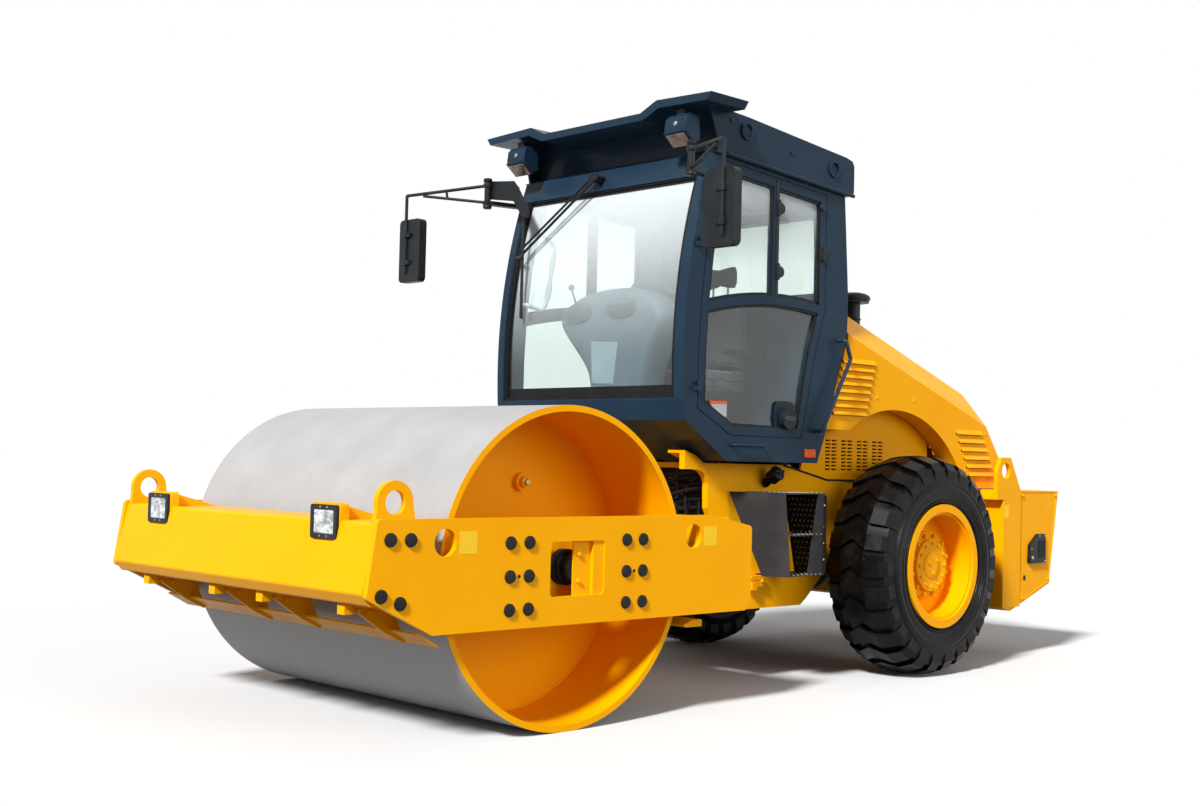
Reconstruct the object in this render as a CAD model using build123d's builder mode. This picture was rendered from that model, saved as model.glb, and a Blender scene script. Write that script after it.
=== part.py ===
"""Single-drum road roller: an articulated soil compactor with a cab.

Millimetres. +X points to the drum end, +Y to the machine's left, +Z up.
The origin is on the ground at the middle of the machine's length.
"""

from build123d import *
import math
import os

os.makedirs("parts", exist_ok=True)

# Drum
drum_radius = 760
drum_width = 2130
shell_wall = 30
disc_wall = 24
disc_y = 600
hub_radius = 120
hub_gap = 0.05
drum_half = drum_width / 2
drum_z = drum_radius

# Overall layout
wheelbase = 3060
front_reach = drum_radius + 430
rear_reach = 1740
drum_x = (front_reach + wheelbase + rear_reach) / 2 - front_reach
axle_x = drum_x - wheelbase
hitch_x = drum_x - drum_radius - 720

# Front frame
plate_wall = 30
plate_outer_y = drum_half + 65
plate_inner_y = plate_outer_y - plate_wall
beam_gap = 75
tie_hole_radius = 60
tie_hole_x = drum_radius + 22
tie_hole_z = drum_z + 136
lift_hole_radius = 52
lift_ring_radius = 92
isolator_length = 110

# Articulation
hitch_z = drum_z - 30
pin_radius = 45
pin_gap = 0.05
swivel_radius = 130
hitch_half = 150
clevis_wall = 40
clevis_gap = 1
cylinder_root_x = hitch_x - 720
cylinder_root_y = 330
cylinder_eye_x = hitch_x + 140
cylinder_eye_y = 300
cylinder_radius = 42
cylinder_rod_radius = 25
cylinder_pin_radius = 20

# Rear axle and wheels
tyre_radius = 670
tyre_width = 445
rim_radius = 335
flange_radius = 375
hub_cap_radius = 158
wheel_y = 895
spindle_radius = 100
axle_z = tyre_radius
lug_count = 26
tyre_sides = 2 * lug_count
lug_depth = 28
lug_root = 520
lug_angle = math.radians(4.2)
lug_apex = math.radians(5.2)
rim_wall = 22

# Rear frame
frame_wall = 40
frame_outer_y = 600
frame_inner_y = frame_outer_y - frame_wall
deck_z = 1262

# Cab
cab_half = 770
cab_wall = 50
glass_wall = 8
windshield_half = cab_half - 69
door_gap = 6

# Hood
hood_half = 740
hood_wall = 20
ridge_inset = 150
ridge_rise = 195
hood_slope = 0.3263


def slab_y(points, y_from, y_to, radius=0, mode=Mode.ADD):
    """Outline of (x, z) points, filled between two y values."""
    low, high = sorted((y_from, y_to))
    with BuildSketch(Plane.XZ.offset(-high)) as outline:
        Polygon(*points, align=None)
        if radius:
            fillet(outline.vertices(), radius)
    extrude(outline.sketch, amount=high - low, mode=mode)


def slab_x(points, x_from, x_to, radius=0, mode=Mode.ADD):
    """Outline of (y, z) points, filled between two x values."""
    low, high = sorted((x_from, x_to))
    with BuildSketch(Plane.YZ.offset(low)) as outline:
        Polygon(*points, align=None)
        if radius:
            fillet(outline.vertices(), radius)
    extrude(outline.sketch, amount=high - low, mode=mode)


def slab_z(points, z_from, z_to, radius=0, mode=Mode.ADD):
    """Outline of (x, y) points, filled between two z values."""
    low, high = sorted((z_from, z_to))
    with BuildSketch(Plane.XY.offset(low)) as outline:
        Polygon(*points, align=None)
        if radius:
            fillet(outline.vertices(), radius)
    extrude(outline.sketch, amount=high - low, mode=mode)


def block(x_range, y_range, z_range, mode=Mode.ADD):
    """Box between two values on each axis."""
    x0, x1 = sorted(x_range)
    y0, y1 = sorted(y_range)
    z0, z1 = sorted(z_range)
    with Locations(((x0 + x1) / 2, (y0 + y1) / 2, (z0 + z1) / 2)):
        Box(x1 - x0, y1 - y0, z1 - z0, mode=mode)


def bar(start, end, radius, mode=Mode.ADD):
    """Round bar from one point to another."""
    run = Vector(*end) - Vector(*start)
    with BuildSketch(Plane(origin=start, z_dir=run)) as section:
        Circle(radius)
    extrude(section.sketch, amount=run.length, mode=mode)


def round_y(x, z, radius, y_from, y_to, mode=Mode.ADD):
    """Round disc or hole along y."""
    bar((x, min(y_from, y_to), z), (x, max(y_from, y_to), z), radius, mode=mode)


def round_z(x, y, radius, z_from, z_to, mode=Mode.ADD):
    """Round disc or hole along z."""
    bar((x, y, min(z_from, z_to)), (x, y, max(z_from, z_to)), radius, mode=mode)


def tube(points, radius, bend):
    """Bent round tube along a route of points."""
    with BuildLine() as route:
        FilletPolyline(*points, radius=bend)
    start = route.line @ 0
    with BuildSketch(Plane(origin=start, z_dir=route.line % 0)) as section:
        Circle(radius)
    sweep(section.sketch, path=route.line)


def from_drum(points):
    """Outline with x counted from the drum's front or rear face, and z from its axle."""
    return [(drum_x + math.copysign(drum_radius, x) + x, drum_z + z) for x, z in points]


def from_axle(points):
    """Outline whose x values count from the rear axle."""
    return [(axle_x + x, z) for x, z in points]


def from_hitch(points):
    """Outline whose x values count from the hitch pins."""
    return [(hitch_x + x, z) for x, z in points]


# Drum

with BuildPart() as drum_shell:
    round_y(drum_x, drum_z, drum_radius, -drum_half, drum_half)
    round_y(drum_x, drum_z, drum_radius - shell_wall, -drum_half, drum_half, mode=Mode.SUBTRACT)

plug_x = drum_x - 82
plug_z = drum_z + 390

with BuildPart() as drum_discs:
    inner = drum_radius - shell_wall
    for side in (1, -1):
        round_y(drum_x, drum_z, inner, side * (disc_y - disc_wall), side * disc_y)
        round_y(drum_x, drum_z, 195, side * disc_y, side * (disc_y + 35))
        round_y(plug_x, plug_z, 45, side * disc_y, side * (disc_y + 30))
        round_y(plug_x, plug_z, 27, side * (disc_y + 30), side * (disc_y + 50))
    round_y(drum_x, drum_z, 210, -disc_y + disc_wall, disc_y - disc_wall)
    for side in (1, -1):
        round_y(drum_x, drum_z, hub_radius + hub_gap, side * 480, side * (disc_y + 35), mode=Mode.SUBTRACT)

with BuildPart() as drum_mounts:
    isolator_y = plate_inner_y - isolator_length
    for side in (1, -1):
        round_y(drum_x, drum_z, hub_radius, side * 485, side * (isolator_y - 25))
        round_y(drum_x, drum_z, 170, side * (disc_y + 60), side * (isolator_y - 60))
        slab_y(
            [(drum_x - 450, drum_z - 235), (drum_x + 450, drum_z - 235),
             (drum_x + 450, drum_z + 195), (drum_x - 450, drum_z + 195)],
            side * (isolator_y - 25), side * isolator_y, radius=30)

isolator_places = [(x, z) for x in (-363, 363) for z in (128, -22, -170)]

with BuildPart() as isolators:
    for side in (1, -1):
        for x, z in isolator_places:
            round_y(drum_x + x, drum_z + z, 50, side * isolator_y, side * plate_inner_y)

with BuildPart() as drum_motors:
    for side in (1, -1):
        round_y(drum_x - 20, drum_z, 85, side * isolator_y, side * (isolator_y + 40))
        round_y(drum_x - 20, drum_z, 62, side * (isolator_y + 40), side * (plate_inner_y - 10))

# Front frame

plate_outline = from_drum([
    (375, 240), (423, -87), (81, -255), (-430, -255), (-470, -205), (-470, 180), (-156, 240)])
window_x = (drum_x - 165, drum_x + 177)
window_z = (drum_z - 125, drum_z + 128)
window_outline = [(window_x[i], window_z[j]) for i, j in ((0, 0), (1, 0), (1, 1), (0, 1))]


def side_plate(side):
    """Side member of the front frame, with its window and two tie-down holes."""
    slab_y(plate_outline, side * plate_inner_y, side * plate_outer_y, radius=22)
    slab_y(window_outline, side * plate_inner_y, side * plate_outer_y, radius=25, mode=Mode.SUBTRACT)
    for x in (-tie_hole_x, tie_hole_x):
        round_y(drum_x + x, tie_hole_z, tie_hole_radius, side * plate_inner_y, side * plate_outer_y,
                mode=Mode.SUBTRACT)


with BuildPart() as side_plate_left:
    side_plate(1)

with BuildPart() as side_plate_right:
    side_plate(-1)

lamp_y = drum_half - 323
lamp_half = 72
lamp_z = drum_z + 214
lamp_face_x = drum_x + drum_radius + 352
lamp_pocket = 8
lift_eye_x = drum_x + drum_radius + 264
lift_eye_z = drum_z + 308
lift_eye_y = plate_inner_y - 20
beam_top = drum_z + 225

with BuildPart() as front_beam:
    beam_outline = from_drum([(beam_gap, 225), (365, 225), (426, -70), (390, -120), (beam_gap, -160)])
    slab_y(beam_outline, -plate_inner_y, plate_inner_y, radius=20)
    for side in (1, -1):
        # Lamp housing that slopes back from the lamp.
        back_x = lamp_face_x - 20
        housing = [(back_x, beam_top - 80), (back_x, lamp_z + lamp_half + 2),
                   (lamp_face_x - 262, beam_top - 1), (lamp_face_x - 262, beam_top - 80)]
        slab_y(housing, side * (lamp_y - lamp_half - 3), side * (lamp_y + lamp_half + 3))
        pocket = lamp_half + lamp_pocket
        block((back_x, back_x + 140), (side * (lamp_y - pocket), side * (lamp_y + pocket)),
              (lamp_z - pocket, lamp_z + pocket), mode=Mode.SUBTRACT)
        # Lift eye.
        eye_from = side * (lift_eye_y - 15)
        eye_to = side * (lift_eye_y + 15)
        foot = [(lift_eye_x - 108, beam_top - 5), (lift_eye_x + 100, beam_top - 5),
                (lift_eye_x + 84, lift_eye_z + 30), (lift_eye_x - 84, lift_eye_z + 30)]
        slab_y(foot, eye_from, eye_to)
        round_y(lift_eye_x, lift_eye_z, lift_ring_radius, eye_from, eye_to)
        round_y(lift_eye_x, lift_eye_z, lift_hole_radius, eye_from, eye_to, mode=Mode.SUBTRACT)

with BuildPart() as front_lamps:
    for side in (1, -1):
        block((lamp_face_x - 20, lamp_face_x + 24), (side * (lamp_y - lamp_half), side * (lamp_y + lamp_half)),
              (lamp_z - lamp_half, lamp_z + lamp_half))
        block((lamp_face_x, lamp_face_x + 24), (side * (lamp_y - 54), side * (lamp_y + 54)),
              (lamp_z - 54, lamp_z + 54), mode=Mode.SUBTRACT)

scraper_half = plate_inner_y - 15
rib_far = drum_half - 197
rib_near = drum_half / 5

with BuildPart() as front_scraper:
    blade = from_drum([(12, -308), (32, -318), (145, -168), (145, -160), (122, -160)])
    slab_y(blade, -scraper_half, scraper_half)
    for y in (-rib_far, -rib_near, rib_near, rib_far):
        rib = from_drum([(140, -175), (360, -134), (360, -124), (100, -157)])
        slab_y(rib, y - 12, y + 12)

beam_back_x = drum_x - drum_radius - 320

with BuildPart() as rear_beam:
    slab_y(from_drum([(-320, -240), (-70, -240), (-70, 200), (-100, 225), (-320, 225)]),
           -plate_inner_y, plate_inner_y)
    # Bearing boss of the oscillation shaft.
    bar((beam_back_x, 0, hitch_z), (beam_back_x - 70, 0, hitch_z), swivel_radius + 60)
    bar((beam_back_x + 120, 0, hitch_z), (beam_back_x - 70, 0, hitch_z), swivel_radius + pin_gap,
        mode=Mode.SUBTRACT)
    # Rear scraper arms.
    for y in (-rib_far, rib_far):
        slab_y(from_drum([(-75, -240), (-145, -240), (-145, -290), (-75, -290)]), y - 15, y + 15)

with BuildPart() as rear_scraper:
    slab_y(from_drum([(-5, -312), (-25, -324), (-145, -324), (-145, -290), (-70, -290)]),
           -scraper_half, scraper_half)

# Articulation hitch

swivel_start = hitch_x + hitch_half
ear_gap = 50
ear_wall = 30

with BuildPart() as hitch:
    slab_y([(hitch_x - 70, hitch_z - 150), (swivel_start, hitch_z - 150),
            (swivel_start, hitch_z + 150), (hitch_x - 70, hitch_z + 150)], -130, 130, radius=20)
    bar((swivel_start - 20, 0, hitch_z), (beam_back_x + 110, 0, hitch_z), swivel_radius)
    # Ears that the steering rods pull on.
    for side in (1, -1):
        for up in (1, -1):
            near = hitch_z + up * ear_gap
            far = near + up * ear_wall
            slab_z([(hitch_x + 30, side * 125), (cylinder_eye_x + 45, side * 125),
                    (cylinder_eye_x + 45, side * (cylinder_eye_y + 45)),
                    (cylinder_eye_x - 45, side * (cylinder_eye_y + 45))], near, far)
            round_z(cylinder_eye_x, side * cylinder_eye_y, cylinder_pin_radius + 8, far, far + up * 10)
    round_z(hitch_x, 0, pin_radius + pin_gap, hitch_z - 150, hitch_z + 150, mode=Mode.SUBTRACT)

with BuildPart() as hitch_pins:
    for up in (1, -1):
        near = hitch_z + up * 60
        far = hitch_z + up * (150 + clevis_gap + clevis_wall)
        round_z(hitch_x, 0, pin_radius, near, far + up * 15)
        round_z(hitch_x, 0, pin_radius + 20, far, far + up * 15)

# Steering cylinders, straight along x at rest apart from their small slant

barrel_length = 590


def slant(side, distance):
    """Point along the steering cylinder's axis, measured from its rear pin."""
    run = Vector(cylinder_eye_x - cylinder_root_x, side * (cylinder_eye_y - cylinder_root_y), 0).normalized()
    return (cylinder_root_x + run.X * distance, side * cylinder_root_y + run.Y * distance, hitch_z)


cylinder_span = Vector(cylinder_eye_x - cylinder_root_x, cylinder_eye_y - cylinder_root_y, 0).length


def steering_barrel(side):
    """Barrel with its rear eye, bored for the rod."""
    bar(slant(side, 30), slant(side, 80), 28)
    bar(slant(side, 70), slant(side, barrel_length), cylinder_radius)
    bar(slant(side, 80), slant(side, barrel_length), cylinder_rod_radius + pin_gap, mode=Mode.SUBTRACT)
    round_z(cylinder_root_x, side * cylinder_root_y, 42, hitch_z - 30, hitch_z + 30)
    round_z(cylinder_root_x, side * cylinder_root_y, cylinder_pin_radius + pin_gap,
            hitch_z - 30, hitch_z + 30, mode=Mode.SUBTRACT)


def steering_rod(side):
    """Chrome rod with the eye that sits between the hitch's two ears."""
    bar(slant(side, 340), slant(side, cylinder_span - 30), cylinder_rod_radius)
    round_z(cylinder_eye_x, side * cylinder_eye_y, 38, hitch_z - 38, hitch_z + 38)


with BuildPart() as steering_barrel_left:
    steering_barrel(1)

with BuildPart() as steering_barrel_right:
    steering_barrel(-1)

with BuildPart() as steering_rod_left:
    steering_rod(1)

with BuildPart() as steering_rod_right:
    steering_rod(-1)

# Rear frame

bracket_root = 15
bracket_seat = bracket_root - 0.3
frame_outline = from_axle([
    (934, deck_z), (509, 1176), (-1000, 1176), (-1000, 560), (-500, 600), (-420, 800), (420, 800),
    (541, 600), (693, 468), (749, 430)]) + from_hitch([
        (-300, 430), (-220, 500), (-80, 540), (-50, 900), (10, 1010), (bracket_seat, 1150),
        (bracket_seat, deck_z)])
bracket_outline = from_hitch([
    (bracket_root, 1150), (34, 1192), (66, 1217), (104, 1226), (205, 1227), (205, 1331), (110, 1300),
    (50, deck_z), (bracket_root, deck_z)])
clevis_low = hitch_z - 150 - clevis_gap - clevis_wall
clevis_high = hitch_z + 150 + clevis_gap
bulkhead_x = hitch_x - 160

with BuildPart() as chassis:
    for side in (1, -1):
        slab_y(frame_outline, side * frame_inner_y, side * frame_outer_y)
    block((bulkhead_x - 40, bulkhead_x), (-frame_inner_y, frame_inner_y), (540, deck_z))
    # Clevis plates above and below the hitch.
    nose = [(hitch_x + 75, -90), (hitch_x + 75, 90), (hitch_x - 60, 230), (bulkhead_x, 260),
            (bulkhead_x, -260), (hitch_x - 60, -230)]
    for z in (clevis_low, clevis_high):
        slab_z(nose, z, z + clevis_wall)
        round_z(hitch_x, 0, pin_radius, z, z + clevis_wall, mode=Mode.SUBTRACT)
    # Windows in the bulkhead for the steering cylinders.
    for side in (1, -1):
        block((bulkhead_x - 40, bulkhead_x), (side * 200, side * 460), (hitch_z - 90, hitch_z + 90),
              mode=Mode.SUBTRACT)
    # Crossmember with the steering cylinders' rear pins.
    block((cylinder_root_x - 110, cylinder_root_x - 60), (-frame_inner_y, frame_inner_y),
          (hitch_z - 150, hitch_z + 150))
    for side in (1, -1):
        for z in (hitch_z - 65, hitch_z + 35):
            block((cylinder_root_x - 60, cylinder_root_x + 40),
                  (side * (cylinder_root_y - 50), side * (cylinder_root_y + 50)), (z, z + 30))
        round_z(cylinder_root_x, side * cylinder_root_y, cylinder_pin_radius, hitch_z - 65, hitch_z + 65)
    # Deck under the cab and the belly and rear crossmembers.
    block((axle_x + 810, hitch_x + 10), (-frame_inner_y, frame_inner_y), (deck_z - 30, deck_z))
    block((axle_x + 760, axle_x + 1300), (-frame_inner_y, frame_inner_y), (430, 460))
    block((axle_x + 360, axle_x + 400), (-frame_inner_y, frame_inner_y), (820, 1176))
    block((axle_x - 1000, axle_x - 960), (-frame_inner_y, frame_inner_y), (600, 1176))

with BuildPart() as cab_brackets:
    for side in (1, -1):
        slab_y(bracket_outline, side * frame_inner_y, side * frame_outer_y)
        # Flange below the cab's sloping front.
        slab_y(from_hitch([(110, 1285), (205, 1316), (205, 1331), (110, 1300)]),
               side * (frame_inner_y - 90), side * frame_inner_y)

with BuildPart() as counterweight:
    slab_y(from_axle([(-1004, 1130), (-1736, 1124), (-1628, 486), (-1120, 320), (-1004, 346)]), -900, 900)
    for side in (1, -1):
        rear_eye = from_axle([(-930, 1065), (-930, 1256), (-980, 1345), (-1090, 1345), (-1225, 1120),
                              (-1225, 346), (-1006, 346), (-1006, 1065)])
        slab_y(rear_eye, side * 880, side * 910)
        round_y(axle_x - 1033, 1256, lift_hole_radius, side * 880, side * 910, mode=Mode.SUBTRACT)
        # Ledge that ties the lift eye to the frame.
        block((axle_x - 1004, axle_x - 930), (side * frame_outer_y, side * 880), (1065, 1085))

with BuildPart() as rear_lamps:
    for side in (1, -1):
        block((axle_x - 1540, axle_x - 1330), (side * 900, side * 925), (630, 830))

# Axle and wheels

hub_face = 905

with BuildPart() as rear_axle:
    round_y(axle_x, axle_z, 115, -700, 700)
    round_y(axle_x, axle_z, spindle_radius, -hub_face, hub_face)
    with Locations((axle_x, 0, axle_z)):
        Sphere(240)
    for side in (1, -1):
        block((axle_x - 130, axle_x + 130), (side * (frame_inner_y - 20), side * frame_outer_y),
              (axle_z, 800))


def ring_section(y, radius):
    """Many-sided outline of a tyre's carcass in the plane at one y value."""
    with BuildSketch(Plane.XZ.offset(-y), mode=Mode.PRIVATE) as section:
        with Locations((axle_x, axle_z)):
            RegularPolygon(radius, tyre_sides)
    return section.sketch


def lug_section(y, reach, turn):
    """Cross-section of a tyre lug, turned about the rear axle, in the plane at one y value."""
    corners = [(r * math.cos(turn + a), r * math.sin(turn + a))
               for r, a in ((lug_root, -lug_angle), (reach, -lug_angle), (reach, lug_angle), (lug_root, lug_angle))]
    with BuildSketch(Plane.XZ.offset(-y), mode=Mode.PRIVATE) as section:
        Polygon(*[(axle_x + x, axle_z + z) for x, z in corners], align=None)
    return section.sketch


def tyre(side):
    """Rubber tyre with chevron lugs that run over its shoulders."""
    half = tyre_width / 2
    middle = side * wheel_y
    bore = rim_radius / math.cos(math.pi / tyre_sides)
    profile = [(bore, 50 - half), (rim_radius + 77, 8 - half), (480, -half), (600, 24 - half),
               (tyre_radius - lug_depth, -75)]
    profile += [(r, -y) for r, y in reversed(profile)]
    loft([ring_section(middle + y, r) for r, y in profile], ruled=True)
    extrude(ring_section(middle + half, bore), amount=tyre_width, mode=Mode.SUBTRACT)
    places = [(9 - half, 585, 0), (38 - half, 632, 0), (-95, 664, 0), (0, tyre_radius, lug_apex),
              (95, 664, 0), (half - 38, 632, 0), (half - 9, 585, 0)]
    lug = loft([lug_section(middle + y, reach, turn) for y, reach, turn in places], ruled=True,
               mode=Mode.PRIVATE)
    wheel_line = Axis((axle_x, 0, axle_z), (0, 1, 0))
    add([lug.rotate(wheel_line, 360 / lug_count * step) for step in range(lug_count)])


def rim(side):
    """Dished rim with the hub that turns on the spindle."""
    inner = side * (wheel_y - tyre_width / 2 + 25)
    outer = side * (wheel_y + tyre_width / 2 - 25)
    disc = side * (wheel_y + 40)
    round_y(axle_x, axle_z, rim_radius, inner, outer)
    round_y(axle_x, axle_z, flange_radius, outer, outer + side * 16)
    round_y(axle_x, axle_z, flange_radius, inner, inner - side * 16)
    round_y(axle_x, axle_z, rim_radius - 8, outer, outer + side * 16, mode=Mode.SUBTRACT)
    round_y(axle_x, axle_z, rim_radius - rim_wall, disc, outer + side * 16, mode=Mode.SUBTRACT)
    round_y(axle_x, axle_z, rim_radius - rim_wall, disc - side * 25, inner - side * 16, mode=Mode.SUBTRACT)
    round_y(axle_x, axle_z, 205, side * 760, disc + side * 55)
    round_y(axle_x, axle_z, hub_cap_radius, disc + side * 55, disc + side * 85)
    round_y(axle_x, axle_z, spindle_radius + pin_gap, side * 760, side * (hub_face + 5), mode=Mode.SUBTRACT)


with BuildPart() as tyre_left:
    tyre(1)

with BuildPart() as tyre_right:
    tyre(-1)

with BuildPart() as rim_left:
    rim(1)

with BuildPart() as rim_right:
    rim(-1)

with BuildPart() as engine:
    block((axle_x - 640, axle_x + 300), (-330, 330), (920, 1480))
    for side in (1, -1):
        block((axle_x - 440, axle_x + 160), (side * 330, side * frame_inner_y), (960, 1010))

# Side panels below the hood, with slotted vents

vent_columns = (530, 370, 210, 50)

with BuildPart() as engine_side_panels:
    for side in (1, -1):
        with BuildSketch(Plane.XZ.offset(-side * 592)) as panel:
            Polygon(*from_axle([(770, 1230), (509, 1177), (-560, 1177), (-560, 1640), (620, 1640),
                                (690, 1475)]), align=None)
            for start in vent_columns:
                with Locations((axle_x + start - 56, 1330)):
                    with GridLocations(62, 22, 2, 9):
                        Rectangle(50, 10, mode=Mode.SUBTRACT)
        extrude(panel.sketch, amount=7.5, both=True)

# Hood

hood_front_low = 715
hood_front_high = 504
hood_rear_top = -1050
hood_rear_low = -1220
hood_base = 1136
hood_lip = 1480
hood_edge = 2082
arch_radius = 900
arch_z = 722


def edge_z(x):
    """Height of the hood side's top edge at a distance from the rear axle."""
    return hood_edge + (x - 571) * hood_slope


def hood_body(inset):
    """Closed form of the hood, made smaller all round by an inset."""
    with BuildPart(mode=Mode.PRIVATE) as form:
        top = edge_z(hood_front_high) + ridge_rise + 60
        slab_y(from_axle([
            (hood_front_low - inset, 1000), (hood_front_low - inset, hood_lip), (hood_front_high - inset, edge_z(504)),
            (hood_front_high - inset, top), (hood_rear_top + 215, top),
            (hood_rear_top + inset, edge_z(hood_rear_top) - inset), (hood_rear_low + inset, 1338),
            (hood_rear_low + inset, 1000)]), -hood_half + inset, hood_half - inset)
        half = hood_half - inset
        shoulder = hood_half - ridge_inset - inset / 2
        with BuildSketch(Plane(origin=(axle_x + 800, 0, edge_z(800) - inset), x_dir=(0, 1, 0),
                               z_dir=(1, 0, 0))) as section:
            Polygon((-half, -1400), (-half, 0), (-shoulder, ridge_rise), (shoulder, ridge_rise),
                    (half, 0), (half, -1400), align=None)
        extrude(section.sketch, amount=2400, dir=(-1, 0, -hood_slope), mode=Mode.INTERSECT)
    return form.part


hood_outer = hood_body(0)
hood_inner = hood_body(hood_wall)
intake_x = axle_x + 100
intake_y = 470
hood_pin_x = axle_x - 1238
hood_pin_z = 1154
hood_pin_radius = 8
hood_knuckle = 15
hood_hinge_y = 430

# Centre, width and height of each louvre in a hood side
louvres = [(axle_x + 489 - 13 * row, 1580 + 45 * row, 330, 24) for row in range(8)]
louvres += [(axle_x - 1000 + 32 * row, 1225 + 55 * row, 310, 28) for row in range(6)]
liner_y = frame_outer_y + 6


def louvre_flap(side, x, z, width, height):
    """Pressed flap that leans out over its slot."""
    top = z + height / 2
    profile = [(-6, top), (-6, top + 6), (0, top + 8), (16, z - 7), (12, z - 11), (-3, top)]
    slab_x([(side * (hood_half + out), level) for out, level in profile], x - width / 2, x + width / 2)


def arch_liner(side):
    """Curved liner from the edge of the wheel arch in to the engine side panel."""
    with BuildPart(mode=Mode.PRIVATE) as liner:
        near = side * liner_y
        far = side * (hood_half - 1)
        round_y(axle_x, arch_z, arch_radius + 15, near, far)
        round_y(axle_x, arch_z, arch_radius, near, far, mode=Mode.SUBTRACT)
        block((axle_x - 1300, axle_x + 1300), (near, far), (-300, hood_base), mode=Mode.SUBTRACT)
        block((axle_x, axle_x + 1300), (near, far), (hood_base, hood_lip), mode=Mode.SUBTRACT)
    return liner.part


with BuildPart() as hood:
    add(hood_outer)
    add(hood_inner, mode=Mode.SUBTRACT)
    block((axle_x - 1300, axle_x + 900), (-hood_half, hood_half), (900, hood_base), mode=Mode.SUBTRACT)
    block((axle_x + 300, axle_x + 900), (-hood_half, hood_half), (900, hood_lip), mode=Mode.SUBTRACT)
    round_y(axle_x, arch_z, arch_radius, -hood_half, hood_half, mode=Mode.SUBTRACT)
    for side in (1, -1):
        add(arch_liner(side))
        with BuildSketch(Plane.XZ.offset(-side * (hood_half - hood_wall / 2))) as slots:
            for x, z, width, height in louvres:
                with Locations((x, z)):
                    Rectangle(width, height)
        extrude(slots.sketch, amount=hood_wall, both=True, mode=Mode.SUBTRACT)
        for place in louvres:
            louvre_flap(side, *place)
        # Moving half of the tilt hinge on the rear wall.
        near = side * hood_hinge_y
        far = side * (hood_hinge_y + 60)
        rear_face = axle_x + hood_rear_low
        block((rear_face - 8, rear_face), (near, far), (hood_pin_z, hood_pin_z + 80))
        round_y(hood_pin_x, hood_pin_z, hood_knuckle, near, far)
        block((hood_pin_x, rear_face), (near, far), (hood_pin_z, hood_pin_z + 14))
        round_y(hood_pin_x, hood_pin_z, hood_pin_radius + pin_gap, near, far, mode=Mode.SUBTRACT)
    # Cooling slots in the rear wall.
    with BuildSketch(Plane.YZ.offset(axle_x + hood_rear_low - 60)) as grille:
        with Locations((0, 1370)):
            with GridLocations(420, 50, 3, 5):
                Rectangle(370, 28)
    extrude(grille.sketch, amount=240, mode=Mode.SUBTRACT)

with BuildPart() as intake:
    foot_z = edge_z(100) + ridge_rise
    round_z(intake_x, intake_y, 45, foot_z - 40, foot_z + 180)
    round_z(intake_x, intake_y, 100, foot_z + 180, foot_z + 225)
    add(hood_outer, mode=Mode.SUBTRACT)

with BuildPart() as hood_hinges:
    for side in (1, -1):
        inner_low = side * (hood_hinge_y - 41)
        inner_high = side * (hood_hinge_y - 1)
        outer_low = side * (hood_hinge_y + 61)
        outer_high = side * (hood_hinge_y + 101)
        for low, high in ((inner_low, inner_high), (outer_low, outer_high)):
            round_y(hood_pin_x, hood_pin_z, hood_knuckle, low, high)
            block((hood_pin_x - 15, hood_pin_x + 15), (low, high), (1110, hood_pin_z))
        round_y(hood_pin_x, hood_pin_z, hood_pin_radius, inner_low, outer_high)
    add(counterweight.part, mode=Mode.SUBTRACT)

# Cab

windshield_foot = (1990, 1600)
windshield_middle = (1970, 2244)
windshield_head = (1841, 2834)
cab_floor_z = 1276


def cab_profile(inset):
    """Side profile of the cab, with its bowed front, made smaller by an inset."""
    with BuildSketch(Plane.XZ, mode=Mode.PRIVATE) as profile:
        with BuildLine():
            front = ThreePointArc(*[(axle_x + x, z) for x, z in
                                    (windshield_foot, windshield_middle, windshield_head)])
            Polyline(front @ 1, *from_axle([(1800, 2960), (604, 2880), (555, 2265), (560, 2085), (685, 1655),
                                            (770, 1414), (830, cab_floor_z), (1630, cab_floor_z), (1975, 1490)]),
                     front @ 0)
        make_face()
        if inset:
            offset(amount=-inset, kind=Kind.INTERSECTION, mode=Mode.REPLACE)
    return profile.sketch


def cab_solid(inset, half):
    """Closed form of the cab between two side faces."""
    with BuildPart(mode=Mode.PRIVATE) as form:
        extrude(cab_profile(inset), amount=half, both=True)
    return form.part


door_outline = from_axle([
    (1880, 1556), (1880, 1870), (1865, 2143), (1833, 2418), (1805, 2558), (1735, 2800), (1700, 2935),
    (778, 2868), (777, 2172), (856, 1940), (980, 1415), (1605, 1415)])
rear_window = (2300, 2780)
rear_window_half = cab_half - 210

with BuildPart() as cab_frame:
    add(cab_solid(0, cab_half))
    add(cab_solid(cab_wall, cab_half - cab_wall), mode=Mode.SUBTRACT)
    # Windshield and rear window.
    block((axle_x + 1700, axle_x + 2100), (-windshield_half, windshield_half), (1610, 2834), mode=Mode.SUBTRACT)
    block((axle_x + 500, axle_x + 700), (-rear_window_half, rear_window_half), rear_window, mode=Mode.SUBTRACT)
    # Doorway on the left and the matching window on the right.
    slab_y(door_outline, -cab_half, cab_half, mode=Mode.SUBTRACT)

with BuildPart() as windshield:
    add(cab_solid(20, windshield_half))
    add(cab_solid(20 + glass_wall, cab_half), mode=Mode.SUBTRACT)
    block((axle_x + 400, axle_x + 1700), (-cab_half, cab_half), (1200, 3000), mode=Mode.SUBTRACT)
    block((axle_x + 400, axle_x + 2100), (-cab_half, cab_half), (1200, 1610), mode=Mode.SUBTRACT)
    block((axle_x + 400, axle_x + 2100), (-cab_half, cab_half), (2834, 3000), mode=Mode.SUBTRACT)

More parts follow.
